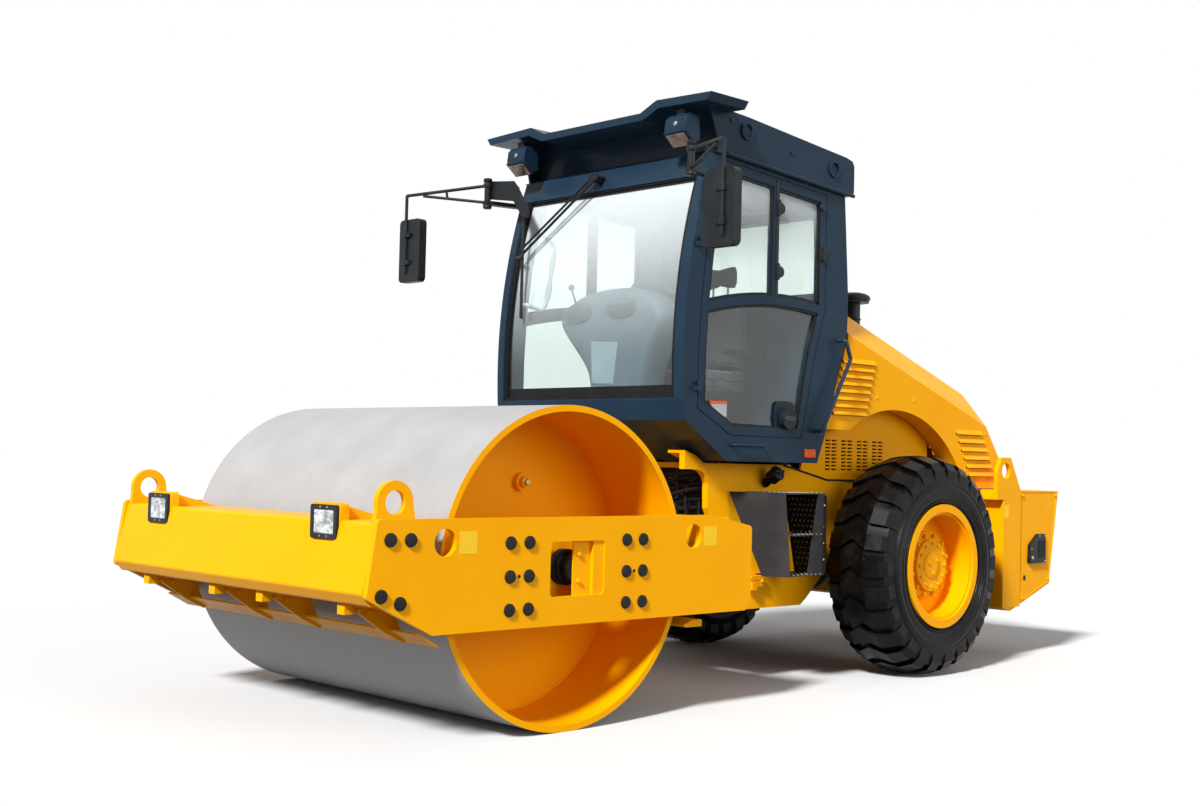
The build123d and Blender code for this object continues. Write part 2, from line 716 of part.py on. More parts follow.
with BuildPart() as rear_glass:
    block((axle_x + 400, axle_x + 800), (-rear_window_half, rear_window_half), rear_window)
    add(cab_solid(28, cab_half), mode=Mode.SUBTRACT)
    with BuildPart(mode=Mode.PRIVATE) as keep:
        add(cab_solid(20, cab_half))
    add(keep.part, mode=Mode.INTERSECT)

door_rail = 50


def arch_height(x):
    """Height of the bowed rail between a door's upper and lower panes."""
    return 2200 - ((x - 1150) / 724) ** 2 * 103


def door_openings(clearance):
    """Glass areas of a side door: two panes above an arched rail, one below."""
    with BuildSketch(Plane.XZ, mode=Mode.PRIVATE) as panes:
        Polygon(*door_outline, align=None)
        offset(amount=-door_rail - clearance, kind=Kind.INTERSECTION, mode=Mode.REPLACE)
        upper = [(x, arch_height(x) + door_rail / 2) for x in range(650, 1951, 100)]
        lower = [(x, z - door_rail) for x, z in reversed(upper)]
        Polygon(*from_axle(upper + lower), align=None, mode=Mode.SUBTRACT)
        with Locations((axle_x + 1245, 2570)):
            Rectangle(40, 760, mode=Mode.SUBTRACT)
    return panes.sketch


def door_leaf(side):
    """Door or window frame that fills the doorway with a gap all round."""
    with BuildSketch(Plane.XZ, mode=Mode.PRIVATE) as leaf:
        Polygon(*door_outline, align=None)
        offset(amount=-door_gap if side > 0 else 0, kind=Kind.INTERSECTION, mode=Mode.REPLACE)
        add(door_openings(door_gap), mode=Mode.SUBTRACT)
    placed = Location((0, side * cab_half, 0))
    extrude(leaf.sketch.moved(placed), amount=side * cab_wall)


def door_panes(side):
    """Glass of the door or side window."""
    placed = Location((0, side * (cab_half - 20), 0))
    extrude(door_openings(door_gap).moved(placed), amount=side * glass_wall)


door_pin_x = axle_x + 1887
door_pin_y = cab_half + 22
knuckle_radius = 12
knuckle_height = 26
knuckle_places = (1650, 2430)
latch_radius = 62
latch_x = axle_x + 1120
latch_z = 1415 + door_gap + door_rail + latch_radius - 5

with BuildPart() as door_hinges:
    for z in knuckle_places:
        round_z(door_pin_x, door_pin_y, knuckle_radius, z, z + knuckle_height)
        round_z(door_pin_x, door_pin_y, 6, z, z + 2 * knuckle_height)
        block((door_pin_x, door_pin_x + 34), (cab_half, door_pin_y), (z, z + knuckle_height))

with BuildPart() as door_frame:
    door_leaf(1)
    for z, reach in zip(knuckle_places, (30, 90)):
        low = z + knuckle_height + 1
        high = low + knuckle_height
        block((door_pin_x - reach, door_pin_x), (cab_half + 8, cab_half + 18), (low, high))
        block((door_pin_x - reach, door_pin_x - reach + 18), (cab_half - 10, cab_half + 18), (low, high))
        round_z(door_pin_x, door_pin_y, knuckle_radius, low, high)
        round_z(door_pin_x, door_pin_y, 6 + pin_gap, low, high, mode=Mode.SUBTRACT)
    # Round latch on the lower rail.
    round_y(latch_x, latch_z, latch_radius, cab_half - 26, cab_half + 24)

with BuildPart() as door_glass:
    door_panes(1)
    round_y(latch_x, latch_z, latch_radius, cab_half - cab_wall, cab_half, mode=Mode.SUBTRACT)

with BuildPart() as side_window_frame:
    door_leaf(-1)

with BuildPart() as side_window_glass:
    door_panes(-1)

roof_half = cab_half + 20

with BuildPart() as cab_roof:
    slab_y(from_axle([(1800, 2961), (604, 2881), (560, 2886), (543, 2910), (543, 3070), (562, 3098),
                      (619, 3112), (1525, 3195), (1700, 3205), (1700, 3000)]), -roof_half, roof_half)
    visor = [(roof_half + 139, 3231), (522, 3245), (399, 3191), (-399, 3191), (-522, 3245),
             (-roof_half - 139, 3231), (-roof_half - 110, 3190), (-540, 3200), (-420, 3150), (420, 3150),
             (540, 3200), (roof_half + 110, 3190)]
    slab_x(visor, axle_x + 1690, axle_x + 1995)
    for side in (1, -1):
        outer = side * roof_half
        # Cheek that closes the visor's end.
        slab_y(from_axle([(1690, 3215), (1868, 3215), (1833, 3152), (1781, 3046), (1762, 2958), (1690, 2955)]),
               outer, outer - side * 14)
        # Blanking rings and rain gutter.
        for x, z in ((1540, 3114), (744, 3023)):
            round_y(axle_x + x, z, 52, outer, outer + side * 12)
            round_y(axle_x + x, z, 38, outer, outer + side * 12, mode=Mode.SUBTRACT)
        bar((axle_x + 1700, outer, 2966), (axle_x + 545, outer, 2889), 11)

with BuildPart() as roof_lamps:
    for side in (1, -1):
        slab_y(from_axle([(1862, 2990), (1975, 2990), (1995, 3012), (1985, 3080), (1940, 3108), (1870, 3108)]),
               side * (cab_half - 180), side * (cab_half - 35))
        block((axle_x + 1920, axle_x + 1950), (side * (cab_half - 120), side * (cab_half - 100)), (3100, 3210))
    add(cab_roof.part, mode=Mode.SUBTRACT)

# Cab fittings


def mirror_arm(side):
    """Post, braced arm, hanging rod and mirror head."""
    post = (axle_x + 2050, side * (cab_half + 75))
    tip = (axle_x + 2315, side * (cab_half + 539), 2876)
    foot = [(axle_x + 1750, side * cab_half), (axle_x + 1835, side * cab_half),
            (post[0] + 24, side * (cab_half + 58)), (post[0] + 24, side * (cab_half + 92)),
            (post[0] - 20, side * (cab_half + 96)), (axle_x + 1750, side * (cab_half + 30))]
    slab_z(foot, 2805, 2830)
    round_z(*post, 20, 2790, 2960)
    bar((*post, 2925), tip, 10)
    bar((*post, 2820), (axle_x + 2260, side * (cab_half + 443), 2872), 9)
    bar(tip, (tip[0], tip[1], 2390), 10)
    bar((axle_x + 2180, side * (cab_half + 303), 2845), (axle_x + 2185, side * (cab_half + 312), 2902), 8)
    head = Plane(origin=(tip[0] - 6, side * (cab_half + 509), 2532), x_dir=(0, 1, 0), z_dir=(-1, 0, 0))
    with BuildSketch(head) as outline:
        RectangleRounded(205, 390, 30)
    extrude(outline.sketch, amount=48)


with BuildPart() as mirror_left:
    mirror_arm(1)

with BuildPart() as mirror_right:
    mirror_arm(-1)

with BuildPart() as wiper:
    head_point = (axle_x + 1880, -60, 2905)
    elbow = (axle_x + 1975, -625, 2472)
    bar(head_point, elbow, 8)
    bar((axle_x + 1878, -110, 2905), (axle_x + 1978, -600, 2520), 7)
    bar((axle_x + 1966, -600, 2790), (axle_x + 2003, -560, 2100), 9)
    bar((axle_x + 1975, -640, 2472), (axle_x + 2002, -560, 2472), 9)
    for y in (-110, -60):
        bar((axle_x + 1800, y, 2905), (axle_x + 1888, y, 2905), 14)
    add(cab_frame.part, mode=Mode.SUBTRACT)

with BuildPart() as grab_handles:
    for side in (1, -1):
        near = side * cab_half
        far = side * (cab_half + 60)
        tube([(axle_x + 650, near, 2010), (axle_x + 650, far, 2010), (axle_x + 600, far, 1900),
              (axle_x + 860, far, 1465), (axle_x + 860, near, 1465)], 12, 22)
        tube([(axle_x + 1600, near, 1366), (axle_x + 1600, far - side * 25, 1366),
              (axle_x + 1340, far - side * 25, 1366), (axle_x + 1340, near, 1366)], 9, 18)

seat_y = 60

with BuildPart() as console:
    cowl = [(-480, 2090), (-400, 2190), (-200, 2265), (100, 2275), (300, 2220), (430, 2090), (330, 1960),
            (250, 1700), (230, cab_floor_z + cab_wall), (-170, cab_floor_z + cab_wall), (-170, 1750), (-420, 2010)]
    slab_x(cowl, axle_x + 1560, axle_x + 1800)
    add(cab_solid(cab_wall, cab_half - cab_wall), mode=Mode.INTERSECT)

with BuildPart() as steering_wheel:
    column = (axle_x + 1560, seat_y, 2080)
    rim_centre = (axle_x + 1450, seat_y, 2190)
    bar(column, rim_centre, 22)
    slope = Plane(origin=rim_centre, x_dir=(0, 1, 0), z_dir=(-1, 0, 1))
    with Locations(slope):
        Torus(190, 14)
        Cylinder(45, 30)
    for turn in (90, 210, 330):
        spoke = slope.location * Location((0, 0, 0), (0, 0, turn))
        with Locations(spoke * Location((95, 0, 0))):
            Box(190, 22, 10)
    add(console.part, mode=Mode.SUBTRACT)

with BuildPart() as seat_base:
    block((axle_x + 880, axle_x + 1240), (seat_y - 200, seat_y + 200), (cab_floor_z + cab_wall, 1640))
    block((axle_x + 860, axle_x + 1290), (seat_y - 240, seat_y + 240), (1640, 1690))
    block((axle_x + 850, axle_x + 884.7), (seat_y - 60, seat_y + 60), (1660, 2200))
    for side in (1, -1):
        block((axle_x + 880, axle_x + 1180), (seat_y + side * 262, seat_y + side * 312), (1900, 1940))
        block((axle_x + 850, axle_x + 884.7), (seat_y + side * 60, seat_y + side * 312), (1900, 1940))

with BuildPart() as seat_cushion:
    block((axle_x + 895, axle_x + 1340), (seat_y - 245, seat_y + 245), (1690.3, 1820))
    fillet(seat_cushion.edges(), 30)

with BuildPart() as seat_back:
    back = [(axle_x + 885, 1824), (axle_x + 990, 1824), (axle_x + 945, 2300), (axle_x + 885, 2300)]
    slab_y(back, seat_y - 235, seat_y + 235, radius=25)
    head = [(axle_x + 885, 2330), (axle_x + 950, 2330), (axle_x + 945, 2480), (axle_x + 885, 2480)]
    slab_y(head, seat_y - 140, seat_y + 140, radius=22)
    for y in (-60, 60):
        round_z(axle_x + 915, seat_y + y, 8, 2290, 2340)

# Steps, filler and hoses

step_front = 1272
step_back = 913
step_top = 1105
step_low = 635
step_outer = 900
step_wall = 8
step_lean = 150


def step_box(side):
    """Boarding step with three treads between two cheeks."""
    inner = side * frame_outer_y
    outer = side * step_outer
    cheek = [(inner, step_top), (outer, step_top), (outer, step_low), (side * (frame_outer_y + 90), step_low)]
    slab_x(cheek, axle_x + step_back, axle_x + step_back + step_wall)
    # Front shield, which leans back from the frame to the treads.
    shield_run = Vector(-step_lean, side * (step_outer - frame_outer_y), 0)
    width = shield_run.length
    shield_plane = Plane(origin=(axle_x + step_front + step_lean, inner, 0), x_dir=shield_run,
                         z_dir=Vector(shield_run.Y, -shield_run.X, 0))
    up = shield_plane.y_dir.Z
    with BuildSketch(shield_plane) as shield:
        corners = [(step_wall, step_top), (width, step_top), (width * 1.1, step_low), (width * 0.62, step_low)]
        Polygon(*[(along, up * z) for along, z in corners], align=None)
    extrude(shield.sketch, amount=step_wall / 2, both=True)
    for z, start in ((step_top, inner), (870, inner), (step_low + step_wall, side * (frame_outer_y + 90))):
        block((axle_x + step_back, axle_x + step_front), (start, outer), (z - step_wall, z))
    corner = from_axle([(step_back, step_top), (step_back + 60, step_top), (step_back + 150, step_low),
                        (step_back, step_low)])
    slab_y(corner, outer, outer - side * step_wall)


with BuildPart() as steps_left:
    step_box(1)

with BuildPart() as steps_right:
    step_box(-1)

with BuildPart() as fuel_filler:
    bar((axle_x + 1100, frame_outer_y, 1150), (axle_x + 1100, frame_outer_y + 60, 1190), 26)
    bar((axle_x + 1100, frame_outer_y + 50, 1183), (axle_x + 1100, frame_outer_y + 90, 1210), 42)
    block((axle_x + 1000, axle_x + 1300), (frame_outer_y - 60, frame_outer_y), (1000, 1200), mode=Mode.SUBTRACT)

with BuildPart() as cab_mounts:
    for side in (1, -1):
        for x in (1560, 860):
            block((axle_x + x - 40, axle_x + x + 40), (side * 470, side * 550), (deck_z, cab_floor_z))

# Files

drum_shell.part.label = "drum_shell"
export_step(drum_shell.part, "parts/drum_shell.step")
drum_discs.part.label = "drum_discs"
export_step(drum_discs.part, "parts/drum_discs.step")
drum_mounts.part.label = "drum_mounts"
export_step(drum_mounts.part, "parts/drum_mounts.step")
isolators.part.label = "isolators"
export_step(isolators.part, "parts/isolators.step")
drum_motors.part.label = "drum_motors"
export_step(drum_motors.part, "parts/drum_motors.step")
side_plate_left.part.label = "side_plate_left"
export_step(side_plate_left.part, "parts/side_plate_left.step")
side_plate_right.part.label = "side_plate_right"
export_step(side_plate_right.part, "parts/side_plate_right.step")
front_beam.part.label = "front_beam"
export_step(front_beam.part, "parts/front_beam.step")
front_lamps.part.label = "front_lamps"
export_step(front_lamps.part, "parts/front_lamps.step")
front_scraper.part.label = "front_scraper"
export_step(front_scraper.part, "parts/front_scraper.step")
rear_beam.part.label = "rear_beam"
export_step(rear_beam.part, "parts/rear_beam.step")
rear_scraper.part.label = "rear_scraper"
export_step(rear_scraper.part, "parts/rear_scraper.step")
hitch.part.label = "hitch"
export_step(hitch.part, "parts/hitch.step")
hitch_pins.part.label = "hitch_pins"
export_step(hitch_pins.part, "parts/hitch_pins.step")
steering_barrel_left.part.label = "steering_barrel_left"
export_step(steering_barrel_left.part, "parts/steering_barrel_left.step")
steering_barrel_right.part.label = "steering_barrel_right"
export_step(steering_barrel_right.part, "parts/steering_barrel_right.step")
steering_rod_left.part.label = "steering_rod_left"
export_step(steering_rod_left.part, "parts/steering_rod_left.step")
steering_rod_right.part.label = "steering_rod_right"
export_step(steering_rod_right.part, "parts/steering_rod_right.step")
chassis.part.label = "chassis"
export_step(chassis.part, "parts/chassis.step")
cab_brackets.part.label = "cab_brackets"
export_step(cab_brackets.part, "parts/cab_brackets.step")
counterweight.part.label = "counterweight"
export_step(counterweight.part, "parts/counterweight.step")
rear_lamps.part.label = "rear_lamps"
export_step(rear_lamps.part, "parts/rear_lamps.step")
rear_axle.part.label = "rear_axle"
export_step(rear_axle.part, "parts/rear_axle.step")
tyre_left.part.label = "tyre_left"
export_step(tyre_left.part, "parts/tyre_left.step")
tyre_right.part.label = "tyre_right"
export_step(tyre_right.part, "parts/tyre_right.step")
rim_left.part.label = "rim_left"
export_step(rim_left.part, "parts/rim_left.step")
rim_right.part.label = "rim_right"
export_step(rim_right.part, "parts/rim_right.step")
engine.part.label = "engine"
export_step(engine.part, "parts/engine.step")
engine_side_panels.part.label = "engine_side_panels"
export_step(engine_side_panels.part, "parts/engine_side_panels.step")
hood.part.label = "hood"
export_step(hood.part, "parts/hood.step")
intake.part.label = "intake"
export_step(intake.part, "parts/intake.step")
hood_hinges.part.label = "hood_hinges"
export_step(hood_hinges.part, "parts/hood_hinges.step")
cab_frame.part.label = "cab_frame"
export_step(cab_frame.part, "parts/cab_frame.step")
windshield.part.label = "windshield"
export_step(windshield.part, "parts/windshield.step")
rear_glass.part.label = "rear_glass"
export_step(rear_glass.part, "parts/rear_glass.step")
door_hinges.part.label = "door_hinges"
export_step(door_hinges.part, "parts/door_hinges.step")
door_frame.part.label = "door_frame"
export_step(door_frame.part, "parts/door_frame.step")
door_glass.part.label = "door_glass"
export_step(door_glass.part, "parts/door_glass.step")
side_window_frame.part.label = "side_window_frame"
export_step(side_window_frame.part, "parts/side_window_frame.step")
side_window_glass.part.label = "side_window_glass"
export_step(side_window_glass.part, "parts/side_window_glass.step")
cab_roof.part.label = "cab_roof"
export_step(cab_roof.part, "parts/cab_roof.step")
roof_lamps.part.label = "roof_lamps"
export_step(roof_lamps.part, "parts/roof_lamps.step")
mirror_left.part.label = "mirror_left"
export_step(mirror_left.part, "parts/mirror_left.step")
mirror_right.part.label = "mirror_right"
export_step(mirror_right.part, "parts/mirror_right.step")
wiper.part.label = "wiper"
export_step(wiper.part, "parts/wiper.step")
grab_handles.part.label = "grab_handles"
export_step(grab_handles.part, "parts/grab_handles.step")
console.part.label = "console"
export_step(console.part, "parts/console.step")
steering_wheel.part.label = "steering_wheel"
export_step(steering_wheel.part, "parts/steering_wheel.step")
seat_base.part.label = "seat_base"
export_step(seat_base.part, "parts/seat_base.step")
seat_cushion.part.label = "seat_cushion"
export_step(seat_cushion.part, "parts/seat_cushion.step")
seat_back.part.label = "seat_back"
export_step(seat_back.part, "parts/seat_back.step")
steps_left.part.label = "steps_left"
export_step(steps_left.part, "parts/steps_left.step")
steps_right.part.label = "steps_right"
export_step(steps_right.part, "parts/steps_right.step")
fuel_filler.part.label = "fuel_filler"
export_step(fuel_filler.part, "parts/fuel_filler.step")
cab_mounts.part.label = "cab_mounts"
export_step(cab_mounts.part, "parts/cab_mounts.step")
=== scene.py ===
"""Looks of a single-drum road roller: finishes, fasteners, seals, lamps, cushions and hoses.

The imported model's frame: +X to the drum, +Y to the machine's left, +Z up. Its nodes are in metres, and the
sizes and places below are in millimetres.
"""

import math
from functools import partial

import bmesh
import bpy
from mathutils import Matrix, Vector


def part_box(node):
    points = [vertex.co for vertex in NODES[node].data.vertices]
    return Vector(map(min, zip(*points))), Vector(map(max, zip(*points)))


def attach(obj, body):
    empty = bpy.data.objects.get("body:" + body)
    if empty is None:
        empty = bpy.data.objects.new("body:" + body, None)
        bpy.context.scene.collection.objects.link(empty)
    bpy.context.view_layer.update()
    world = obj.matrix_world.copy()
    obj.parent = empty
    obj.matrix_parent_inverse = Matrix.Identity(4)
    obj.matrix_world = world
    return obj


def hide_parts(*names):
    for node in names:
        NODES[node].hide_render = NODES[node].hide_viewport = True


bl_info = {
    "name": "Road roller looks",
    "version": (1, 0, 0),
    "blender": (4, 5, 0),
    "location": "View3D > Sidebar > Roller",
    "description": "Dresses the packed road roller with finishes and small pieces",
    "category": "Object",
}

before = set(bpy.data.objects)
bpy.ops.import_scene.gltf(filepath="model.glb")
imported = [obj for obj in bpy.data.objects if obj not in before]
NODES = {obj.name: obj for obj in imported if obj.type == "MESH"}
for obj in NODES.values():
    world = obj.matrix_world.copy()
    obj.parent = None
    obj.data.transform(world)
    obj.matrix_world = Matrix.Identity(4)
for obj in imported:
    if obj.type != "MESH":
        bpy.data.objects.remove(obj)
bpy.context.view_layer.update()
MM = 0.001
SIDES = (1, -1)
FRONT = "front_frame"
REAR = "rear_frame"

# Faces that meet at more than this angle stay sharp
SHARP_ANGLE = math.radians(35)

# A loop's point is dropped if it is this near to the one before, or if the cosine of its bend is this high
NEAREST = 3.0
STRAIGHT = 0.99996

# Least share that a strip's corner is divided by, so that a sharp corner doesn't reach out far
SHARPEST = 0.35
HOSE_RADIUS = 12

# Scale of a wave pattern whose ridges stand 1 mm apart
RIDGES = math.pi / 10 / MM

# Camera, fitted to the photograph's frame
PHOTO_WIDTH = 1200
PHOTO_HEIGHT = 806
PHOTO_CENTRE = (608.35, 405.28)
CAMERA_PLACE = (6.5109, 6.1512, 1.2664)
CAMERA_YAW = math.radians(-134.13)
CAMERA_PITCH = math.radians(2.115)
CAMERA_ROLL = math.radians(1.364)
FOCAL_PIXELS = 1480.4
SENSOR_MM = 36.0

# Side of the floor and the farthest that the camera sees, in metres
FLOOR_SIDE = 400
FARTHEST = 200


def linear(hex_colour):
    """Linear RGBA of an sRGB hex colour."""
    values = [int(hex_colour[i:i + 2], 16) / 255 for i in (1, 3, 5)]
    return tuple(v / 12.92 if v <= 0.04045 else ((v + 0.055) / 1.055) ** 2.4 for v in values) + (1.0,)


def add_node(tree, kind, inputs=(), take=0, **settings):
    """Adds a node with its settings; an input is a value or another node's output. Returns one output."""
    made = tree.nodes.new("ShaderNode" + kind)
    for key, value in settings.items():
        setattr(made, key, value)
    for key, value in inputs.items() if isinstance(inputs, dict) else enumerate(inputs):
        if isinstance(value, bpy.types.NodeSocket):
            tree.links.new(value, made.inputs[key])
        else:
            made.inputs[key].default_value = value
    return made.outputs[take] if made.outputs else None


def start_material(name):
    """Empty material, as a function that adds its nodes, its coordinates and a function that ends it."""
    material = bpy.data.materials.new(name)
    material.use_nodes = True
    material.node_tree.nodes.clear()
    add = partial(add_node, material.node_tree)

    def end(shader):
        add("OutputMaterial", [shader])
        return material

    return add, add("TexCoord", take="Object"), end


def blotches(add, where, size_mm, detail=3.0, roughness=0.55, stretch=(1, 1, 1)):
    """Noise pattern whose blotches are about size_mm across."""
    scaled = add("Mapping", {"Vector": where, "Scale": stretch})
    return add("TexNoise", {"Vector": scaled, "Scale": 1000 / size_mm, "Detail": detail,
                            "Roughness": roughness}, take="Fac")


def two_tone(add, pattern, low, high, first_hex, second_hex, most=1.0):
    """Colour that goes from one to another as a pattern rises, with no more of the second than most."""
    share = add("MapRange", [pattern, low, high, 0.0, most])
    return add("Mix", {0: share, 6: linear(first_hex), 7: linear(second_hex)}, take=2, data_type="RGBA")


def enamel(name, colour_hex, shade_hex, roughness, grime, coat):
    """Sprayed machine enamel: a glossy coat with slight orange peel, uneven gloss and a share of dust."""
    add, where, end = start_material(name)
    streak = blotches(add, where, 90, 5, stretch=(1, 1, 0.25))
    # Orange peel, drawn coarser than the real one so that it shows
    peel = blotches(add, where, 7, 2)
    return end(add("BsdfPrincipled", {
        "Base Color": two_tone(add, blotches(add, where, 420, 4), 0.48, 0.78, colour_hex, shade_hex, grime),
        "Roughness": add("MapRange", [streak, 0.3, 0.75, roughness * 0.8, roughness * 1.35]),
        "IOR": 1.5, "Specular IOR Level": 0.08, "Coat Weight": coat, "Coat Roughness": 0.12,
        "Normal": add("Bump", {"Height": peel, "Distance": 0.25 * MM, "Strength": 0.35})}))


def machined_drum(steel_hex, paint_hex, shade_hex):
    """Rolled steel shell, worn bright and lined by its turning, with painted ends and inside."""
    add, where, end = start_material("machined_steel_with_painted_rim")
    low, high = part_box("drum_shell")
    radius = (high[0] - low[0]) / 2
    half_width = (high[1] - low[1]) / 2
    x, y, z = add("SeparateXYZ", [where]).node.outputs
    along = add("Math", [x, (low[0] + high[0]) / 2], operation="SUBTRACT")
    rise = add("Math", [z, (low[2] + high[2]) / 2], operation="SUBTRACT")
    reach = add("VectorMath", [add("CombineXYZ", [along, rise])], take="Value", operation="LENGTH")
    outer = add("MapRange", [reach, radius - 4 * MM, radius - 2 * MM])
    side = add("Math", [y], operation="ABSOLUTE")
    inside_ends = add("MapRange", [side, half_width - 3 * MM, half_width - 1.5 * MM, 1.0, 0.0])
    bare = add("Math", [outer, inside_ends], operation="MULTIPLY")
    angle = add("Math", [rise, along], operation="ARCTAN2")
    # Turning lines about 4 mm apart, drawn coarser than the real ones so that they show
    lines = blotches(add, add("CombineXYZ", [angle, y]), 1000, 6, 0.7, (1.2, 260, 1))
    blotch = blotches(add, where, 260, 5)
    wear = add("Math", [lines, blotch], operation="MULTIPLY")
    steel = add("BsdfPrincipled", {
        "Base Color": two_tone(add, wear, 0.1, 0.5, steel_hex, "#B8B8B8"), "Metallic": 0.15,
        "Specular IOR Level": 0.3, "Roughness": add("MapRange", [blotch, 0.3, 0.7, 0.48, 0.58]),
        "Normal": add("Bump", {"Height": lines, "Distance": 0.4 * MM, "Strength": 0.25})})
    paint = add("BsdfPrincipled", {
        "Base Color": two_tone(add, blotches(add, where, 300, 4), 0.45, 0.75, paint_hex, shade_hex, 0.35),
        "Roughness": 0.38, "IOR": 1.5, "Specular IOR Level": 0.08})
    return end(add("MixShader", [bare, paint, steel]))


def tyre_rubber():
    """Vulcanised tyre rubber with a dressed, half-gloss surface and grey dust in its pores."""
    add, where, end = start_material("vulcanised_tyre_rubber")
    dust = blotches(add, where, 120, 6, 0.65)
    # Pores, drawn coarser than the real ones so that they show
    pores = blotches(add, where, 4)
    return end(add("BsdfPrincipled", {
        "Base Color": two_tone(add, dust, 0.5, 0.8, "#0A0A0A", "#2E2723", 0.5), "IOR": 1.52,
        "Specular IOR Level": 0.12, "Roughness": add("MapRange", [dust, 0.35, 0.7, 0.2, 0.5]),
        "Normal": add("Bump", {"Height": pores, "Distance": 0.5 * MM, "Strength": 0.5})}))


def plastic(name, colour_hex, shade_hex, roughness, grain_mm=1.6, depth_mm=0.12):
    """Moulded plastic or rubber with a leather-like grain, drawn a little coarse so that it shows."""
    add, where, end = start_material(name)
    grain = add("TexVoronoi", {"Vector": where, "Scale": 1000 / grain_mm}, take="Distance")
    return end(add("BsdfPrincipled", {
        "Base Color": two_tone(add, blotches(add, where, 150, 4), 0.4, 0.75, colour_hex, shade_hex),
        "Roughness": roughness, "IOR": 1.48, "Specular IOR Level": 0.22,
        "Normal": add("Bump", {"Height": grain, "Distance": depth_mm * MM, "Strength": 0.4})}))


def metal(name, colour_hex, roughness, stretch=(1, 1, 1)):
    """Bare or plated metal with fine brushing, drawn coarser than the real one so that it shows."""
    add, where, end = start_material(name)
    brushing = blotches(add, where, 3, 4, stretch=stretch)
    return end(add("BsdfPrincipled", {
        "Base Color": linear(colour_hex), "Metallic": 1.0,
        "Roughness": add("MapRange", [brushing, 0.3, 0.7, roughness * 0.8, roughness * 1.3]),
        "Normal": add("Bump", {"Height": brushing, "Distance": 0.1 * MM, "Strength": 0.2})}))


def safety_glass(name, tint_hex, painted_reflection_from, painted_reflection_to, most):
    """Tempered float glass: faint green tint, a little haze, and a painted reflection of the sky, a pale
    diffuse white that grows toward its top edge.
    """
    add, where, end = start_material(name)
    haze = blotches(add, where, 300)
    tint = linear(tint_hex)
    pane = add("BsdfPrincipled", {"Base Color": tint, "IOR": 1.5, "Transmission Weight": 1.0,
                                  "Roughness": add("MapRange", [haze, 0.3, 0.8, 0.004, 0.01])})
    lit = add("MixShader", [add("LightPath", take="Is Shadow Ray"), pane, add("BsdfTransparent", [tint])])
    # Painted reflection: a pale diffuse white, mixed in more toward the top edge, stands in for the sky's
    # reflection
    height = add("SeparateXYZ", [where], take="Z")
    rise = add("Math", [add("MapRange", [height, painted_reflection_from, painted_reflection_to]), 1.6], operation="POWER")
    painted_reflection_strength = add("MapRange", [haze, 0.2, 0.8, most * 0.9, most])
    painted_reflection = add("Math", [rise, painted_reflection_strength], operation="MULTIPLY")
    return end(add("MixShader", [painted_reflection, lit, add("BsdfDiffuse", [(0.8, 0.83, 0.85, 1)])]))


def woven_cloth(name, colour_hex, thread_hex):
    """Woven seat cloth: crossing threads, fuzzy and dull, drawn 2.4 mm apart so that they show."""
    add, where, end = start_material(name)
    waves = [add("TexWave", {"Vector": where, "Scale": RIDGES / 2.3687, "Distortion": 1.5, "Detail": 2.0},
                 take="Fac", bands_direction=axis) for axis in "XYZ"]
    weave = add("Math", [add("Math", waves[:2], operation="MULTIPLY"), waves[2]], operation="ADD")
    return end(add("BsdfPrincipled", {
        "Base Color": two_tone(add, weave, 0.2, 1.4, colour_hex, thread_hex), "Roughness": 0.9,
        "Sheen Weight": 0.3,
        "Normal": add("Bump", {"Height": weave, "Distance": 0.4 * MM, "Strength": 0.6})}))


def lamp_glass(name, tint_hex, shade_hex):
    """Moulded lens with flutes 16 mm apart over a bright reflector, whose reflections are painted into its
    colour as light and dark blotches.
    """
    add, where, end = start_material(name)
    flutes = add("TexWave", {"Vector": where, "Scale": RIDGES / 15.708}, take="Fac", bands_direction="Y")
    # Painted reflection: large light and dark blotches in the colour stand in for the reflector's reflections
    painted_reflection_patches = blotches(add, where, 45, stretch=(1, 1, 1.8))
    return end(add("BsdfPrincipled", {
        "Base Color": two_tone(add, painted_reflection_patches, 0.42, 0.62, tint_hex, shade_hex), "Metallic": 0.3,
        "Roughness": 0.08, "IOR": 1.5, "Coat Weight": 0.4,
        "Normal": add("Bump", {"Height": flutes, "Distance": 1.5 * MM, "Strength": 0.4})}))


class RollerColours(bpy.types.PropertyGroup):
    """Colours that a user would change, as sRGB hex values"""

    body: bpy.props.StringProperty(
        name="Body enamel", description="Yellow of the frame and hood", default="#FFB000")
    body_shade: bpy.props.StringProperty(
        name="Body dust", description="Dust tone on the body enamel", default="#F79A00")
    cab: bpy.props.StringProperty(
        name="Cab enamel", description="Blue-grey of the cab", default="#1C3042")
    step: bpy.props.StringProperty(
        name="Step enamel", description="Charcoal of the steps", default="#312F2F")
    steel: bpy.props.StringProperty(
        name="Drum steel", description="Bare steel of the drum", default="#A2A2A2")
    glass: bpy.props.StringProperty(
        name="Glass tint", description="Tint of the cab's glass", default="#F1FAF7")
    plate: bpy.props.StringProperty(
        name="Blank plates", description="Paler yellow of the blank label plates", default="#FFCB1C")


class RollerSizes(bpy.types.PropertyGroup):
    """Sizes of the small pieces"""

    bolt_radius: bpy.props.FloatProperty(
        name="Frame bolt radius", description="Radius of the capped bolt heads", default=0.030, unit="LENGTH")
    bolt_height: bpy.props.FloatProperty(
        name="Frame bolt height", description="Height of the capped bolt heads", default=0.014, unit="LENGTH")
    seal_width: bpy.props.FloatProperty(
        name="Window seal width", description="Width of the rubber glass seals", default=0.016, unit="LENGTH")
    hub_bolt_ring: bpy.props.FloatProperty(
        name="Hub bolt ring", description="Radius of the hub cap's bolt ring", default=0.132, unit="LENGTH")
    plate_side: bpy.props.FloatProperty(
        name="Blank plate side", description="Side of the square blank plates", default=0.098, unit="LENGTH")


MATERIALS = {}


